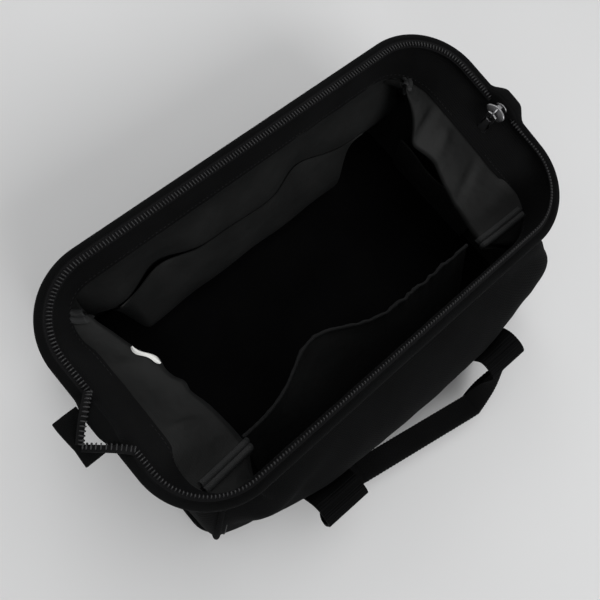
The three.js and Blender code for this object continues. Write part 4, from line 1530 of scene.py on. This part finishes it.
# Slack lining inside the rear wall: it hangs from the hem's facing and lies behind the pocket's edge
rearSlack = {
    "reach": 0.985,
    "low": 0.05,
    "high": 0.985,
    "line": 0.0846,           # where it meets the facing's lower edge
    "foot": 0.098,
    "behind": 0.0014,         # off the pocket's edge, and the gape near the left end
    "gape": (-0.085, 0.026, 0.0042),
    "fadeLeft": 0.34,
    "fadeRight": 0.06,
    "offWall": -0.0022,
    "rises": (0.01, 0.112),   # heights where it leaves the foot and meets the facing
    "wave": 0.0016,
    "waveRise": 0.015,
    "thickness": 0.0008,
}


def rearLiningPoint(u, v):
    across = lerp(rearSlack["reach"], -rearSlack["reach"], u)
    t = lerp(rearSlack["low"], rearSlack["high"], v)
    place = offWall("rear", across, t, rearSlack["offWall"])
    half = pocket["rear"]["half"]
    top = pocket["rear"]["top"]
    footRise, facingRise = rearSlack["rises"]
    gapeAt, gapeSpread, gape = rearSlack["gape"]
    edge = rearPocketPoint(min(1, max(0, (half - place.x) / (2 * half))), 1).y
    edge += rearSlack["behind"] + gape * bell(place.x, gapeAt, gapeSpread)
    if place.z < top:
        line = lerp(rearSlack["foot"], edge, smooth(footRise, top, place.z))
    else:
        line = lerp(edge, rearSlack["line"], smooth(top, facingRise, place.z))
    wave = rearSlack["wave"] * ripple(across * 5, v * 2.5, 9)
    line += wave * smooth(top, top + rearSlack["waveRise"], place.z)
    fade = rearSlack["fadeRight"] if across > 0 else rearSlack["fadeLeft"]
    free = smooth(0, fade, rearSlack["reach"] - abs(across))
    place.y -= max(0, place.y - line) * free
    return place


bm = gridMesh(110, 44, rearLiningPoint, (0.32, 0.11))
addBent(bm, "rearLining", "coated_cloth", (coatedLining,), "rear", thickness=rearSlack["thickness"])

bm = gridMesh(260, 10, elasticPoint, (0.27, 0.011))
bmesh.ops.remove_doubles(bm, verts=bm.verts, dist=0.00002)
for edge in bm.edges:
    edge.smooth = True
bmesh.ops.holes_fill(bm, edges=[edge for edge in bm.edges if edge.is_boundary], sides=14)
bmesh.ops.recalc_face_normals(bm, faces=bm.faces)
addFixed(bm, "pocketElastic", "cloth", elasticCloth, "bag", "front_pocket_elastic")

label = {
    "place": 0.3636,
    "halfWidth": 0.0098,
    "length": 0.0062,
    "thickness": 0.0005,
    "rise": 0.0012,
    "lift": 0.0016,
    "curl": 0.0014,
    "wave": 0.0004,
    "reach": 0.066,
    "flap": 0.046,           # height of cloth between the ridge and the hem
    "highest": 0.97,
    "leastRound": 0.05,
}


def labelPoint(u, v):
    # a short folded tape: it leaves the ridge of the left end and curls back over the flap
    across = lerp(1, -1, u) * label["halfWidth"]
    place = label["place"] + across / label["reach"]
    rounded = math.sqrt(max(label["leastRound"], 1 - (2 * u - 1) ** 2))
    rise = label["rise"] + label["length"] * v * rounded
    t = ridge["share"] + (1 - ridge["share"]) * rise / label["flap"]
    curl = label["lift"] + label["curl"] * arch(v) + label["wave"] * math.sin(5 * u + 3 * v)
    return offWall("left", place, min(t, label["highest"]), -curl)


bm = gridMesh(16, 14, labelPoint, (0.02, 0.015))
addBent(bm, "blankLabel", "label", (labelSatin,), "rear", "care_label", label["thickness"])
print("pockets and label made")


# Sewing: rows of thread along the hem, the straps and the pockets

thread = {
    "pitch": 0.0034,
    "length": 0.0026,
    "width": 0.00062,
    "height": 0.0005,
    "hemRows": (0.0325, 0.0085),   # depth below the wire
    "hemEnds": 0.02,
    "hemLift": 0.0004,
    "rollEnds": (0.03, 0.02),
    "rollAngle": 2.75,
    "rollLift": 0.0003,
    "lift": 0.0002,
}


def makeStitch(bm):
    size = (thread["length"] / 2, thread["width"] / 2, thread["height"] / 2, 1)
    bmesh.ops.create_icosphere(bm, subdivisions=1, radius=1, matrix=Matrix.Diagonal(size))


stitchShape = smallShape("stitch", makeStitch)


def sewRow(bm, points, normals):
    # stitches along a line of points, each a small capsule sunk a little into the cloth
    travelled = 0.0
    following = thread["pitch"] / 2
    for i in range(len(points) - 1):
        span = points[i + 1] - points[i]
        while following < travelled + span.length:
            share = (following - travelled) / span.length
            normal = normals[i].lerp(normals[i + 1], share).normalized()
            tangent = (span - normal * span.dot(normal)).normalized()
            axes = Matrix((tangent, normal.cross(tangent), normal)).transposed().to_4x4()
            setOut(bm, stitchShape, Matrix.Translation(points[i].lerp(points[i + 1], share)) @ axes)
            following += thread["pitch"]
        travelled += span.length


def sewAlong(bm, at, count):
    # at(share) gives a point and the way its cloth faces
    line = [at(i / count) for i in range(count + 1)]
    sewRow(bm, [point for point, _ in line], [normal for _, normal in line])


def hemSeam(sign, depth, face):
    def at(share):
        run = lerp(thread["hemEnds"], rimRun - thread["hemEnds"], share)
        flat = hangPoint(sign, run, depth, 0)
        off = hangPoint(sign, run, depth, face * (hem["flapOff"] + thread["hemLift"]))
        return off, (off - flat).normalized()
    return at


def rollSeam(sign):
    # the row that holds the zip tape under the hem's roll
    def at(share):
        left, right = thread["rollEnds"]
        run = lerp(left, rimRun - right, share)
        angle = thread["rollAngle"]
        radius = hem["roll"] + thread["rollLift"]
        centre = rimPoint(sign, run, mouth["rodOutset"], -mouth["rodDrop"])
        outset = mouth["rodOutset"] + radius * math.cos(angle)
        place = rimPoint(sign, run, outset, -mouth["rodDrop"] + radius * math.sin(angle))
        return place, (place - centre).normalized()
    return at


for half, sign in frameSign.items():
    bm = bmesh.new()
    for depth in thread["hemRows"]:
        for face in (1, -1):
            sewAlong(bm, hemSeam(sign, depth, face), 240)
    sewAlong(bm, rollSeam(sign), 240)
    addBent(bm, half + "HemStitches", "cloth", (sewingThread,), half, half + "_hem")


def strapSeam(side, start, finish):
    # start and finish are places on a sewn strap: along the bag, and up from the floor
    def at(share):
        x = lerp(start[0], finish[0], share)
        height = lerp(start[1], finish[1], share)
        lift = webbing["lift"] + webbing["thickness"] / 2 + thread["lift"]
        place = onWall(side, x, height, lift)
        return place, (place - onWall(side, x, height, 0)).normalized()
    return at


box = {"inset": 0.0026, "low": 0.0125, "high": 0.0475}
bm = bmesh.new()
for side in frameSign:
    for end in (-1, 1):
        left = end * webbing["spacing"] / 2 - webbing["halfWidth"] + box["inset"]
        right = end * webbing["spacing"] / 2 + webbing["halfWidth"] - box["inset"]
        rows = [
            ((left, box["low"]), (right, box["low"])),
            ((right, box["low"]), (right, box["high"])),
            ((right, box["high"]), (left, box["high"])),
            ((left, box["high"]), (left, box["low"])),
            ((left, box["low"]), (right, box["high"])),
            ((right, box["low"]), (left, box["high"])),
        ]
        for start, finish in rows:
            sewAlong(bm, strapSeam(side, start, finish), 12)
strapStitches = addPiece(bm, "strapStitches", "webbing", sewingThread)
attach(strapStitches, "bag")


def pocketSeam(at, fromPlace, toPlace, face):
    def row(share):
        u = lerp(fromPlace[0], toPlace[0], share)
        v = lerp(fromPlace[1], toPlace[1], share)
        step = 0.004
        along = at(min(1, u + step), v) - at(max(0, u - step), v)
        rise = at(u, min(1, v + step)) - at(u, max(0, v - step))
        normal = along.cross(rise).normalized() * face
        return at(u, v) + normal * (pocket["thickness"] / 2 + thread["lift"]), normal
    return row


dividerU = (pocket["rear"]["half"] - pocket["rear"]["divider"]) / (2 * pocket["rear"]["half"])
bm = bmesh.new()
for v in (0.86, 0.965):
    sewAlong(bm, pocketSeam(rearPocketPoint, (0.01, v), (0.99, v), 1), 120)
sewAlong(bm, pocketSeam(rearPocketPoint, (dividerU, 0.04), (dividerU, 0.98), 1), 40)
for v in (0.9, 0.965):
    sewAlong(bm, pocketSeam(frontPocketPoint, (0.01, v), (0.99, v), -1), 200)
    sewAlong(bm, pocketSeam(rightPocketPoint, (0.02, v), (0.98, v), 1), 60)
pocketStitches = addPiece(bm, "pocketStitches", "coated_cloth", sewingThread)
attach(pocketStitches, "bag")
print("sewing done")


# Floor, light and camera

view = {
    "eye": (-0.1719, -0.0682, 0.5449),
    "azimuth": math.radians(-68.92),
    "elevation": math.radians(70.6),
    "roll": math.radians(29.07),
    "lens": 39,
    "sensor": 36,
}
camera = bpy.data.objects.new("camera", bpy.data.cameras.new("camera"))
bpy.context.scene.collection.objects.link(camera)
camera.data.sensor_width = view["sensor"]
camera.data.lens = view["lens"]
back = Vector((
    math.sin(view["azimuth"]) * math.cos(view["elevation"]),
    -math.cos(view["azimuth"]) * math.cos(view["elevation"]),
    math.sin(view["elevation"]),
))
right = Vector((0, 0, 1)).cross(back).normalized()
up = back.cross(right)
turnedRight = right * math.cos(view["roll"]) + up * math.sin(view["roll"])
turnedUp = up * math.cos(view["roll"]) - right * math.sin(view["roll"])
aimed = Matrix((turnedRight, turnedUp, back)).transposed().to_4x4()
camera.matrix_world = Matrix.Translation(view["eye"]) @ aimed
bpy.context.scene.camera = camera
bpy.context.scene.view_settings.view_transform = "Standard"

stage = {
    "dark": (0.6, 0.602, 0.605),
    "light": (0.66, 0.662, 0.665),
    "cloud": 2.0,
    "roughness": 0.9,
    "specular": 0.1,
    "halfSize": 6,
    "height": -0.0004,
    "sky": 0.46,
}
floorMaterial, floorTree, floorShader = newMaterial("paleFloor")
floorPlace = addNode(floorTree, "ShaderNodeTexCoord").outputs["Object"]
floorCloud = clouds(floorTree, floorPlace, stage["cloud"], 2.0)
floorColour = tint(floorTree, floorCloud, stage["dark"], stage["light"])
floorTree.links.new(floorColour, floorShader.inputs["Base Color"])
floorShader.inputs["Roughness"].default_value = stage["roughness"]
floorShader.inputs["Specular IOR Level"].default_value = stage["specular"]
floorBm = bmesh.new()
bmesh.ops.create_grid(floorBm, x_segments=2, y_segments=2, size=stage["halfSize"])
bmesh.ops.translate(floorBm, verts=floorBm.verts, vec=(0, 0, stage["height"]))
floorMesh = bpy.data.meshes.new("floor")
floorBm.to_mesh(floorMesh)
floorBm.free()
floorMesh.materials.append(floorMaterial)
floor = bpy.data.objects.new("floor", floorMesh)
bpy.context.scene.collection.objects.link(floor)

world = bpy.data.worlds.new("studio")
bpy.context.scene.world = world
world.use_nodes = True
sky = world.node_tree.nodes["Background"]
sky.inputs["Color"].default_value = (1, 1, 1, 1)
sky.inputs["Strength"].default_value = stage["sky"]


def softLight(name, place, target, size, power):
    lamp = bpy.data.lights.new(name, "AREA")
    lamp.size = size
    lamp.energy = power
    light = bpy.data.objects.new(name, lamp)
    bpy.context.scene.collection.objects.link(light)
    aim = Vector(target) - Vector(place)
    light.matrix_world = Matrix.Translation(place) @ aim.to_track_quat("-Z", "Y").to_matrix().to_4x4()


softLight("overhead", (0.5, 0.3, 1.9), (0.1, 0, 0), 1.8, 12)
softLight("rearFill", (0.7, 1.9, 1.5), (0, 0, 0.05), 1.2, 11)
softLight("frontKey", (-0.2, -2.1, 2.0), (0, 0, 0.05), 1.2, 39)
print("stage made")

plainNodes = {
    "rear_frame_rod": wireSteel,
    "front_frame_rod": wireSteel,
    "left_hinge_pin": wireSteel,
    "right_hinge_pin": wireSteel,
    "base_board": boardSheet,
}
for node, material in plainNodes.items():
    frame["nodes"][node].data.materials.clear()
    frame["nodes"][node].data.materials.append(material)
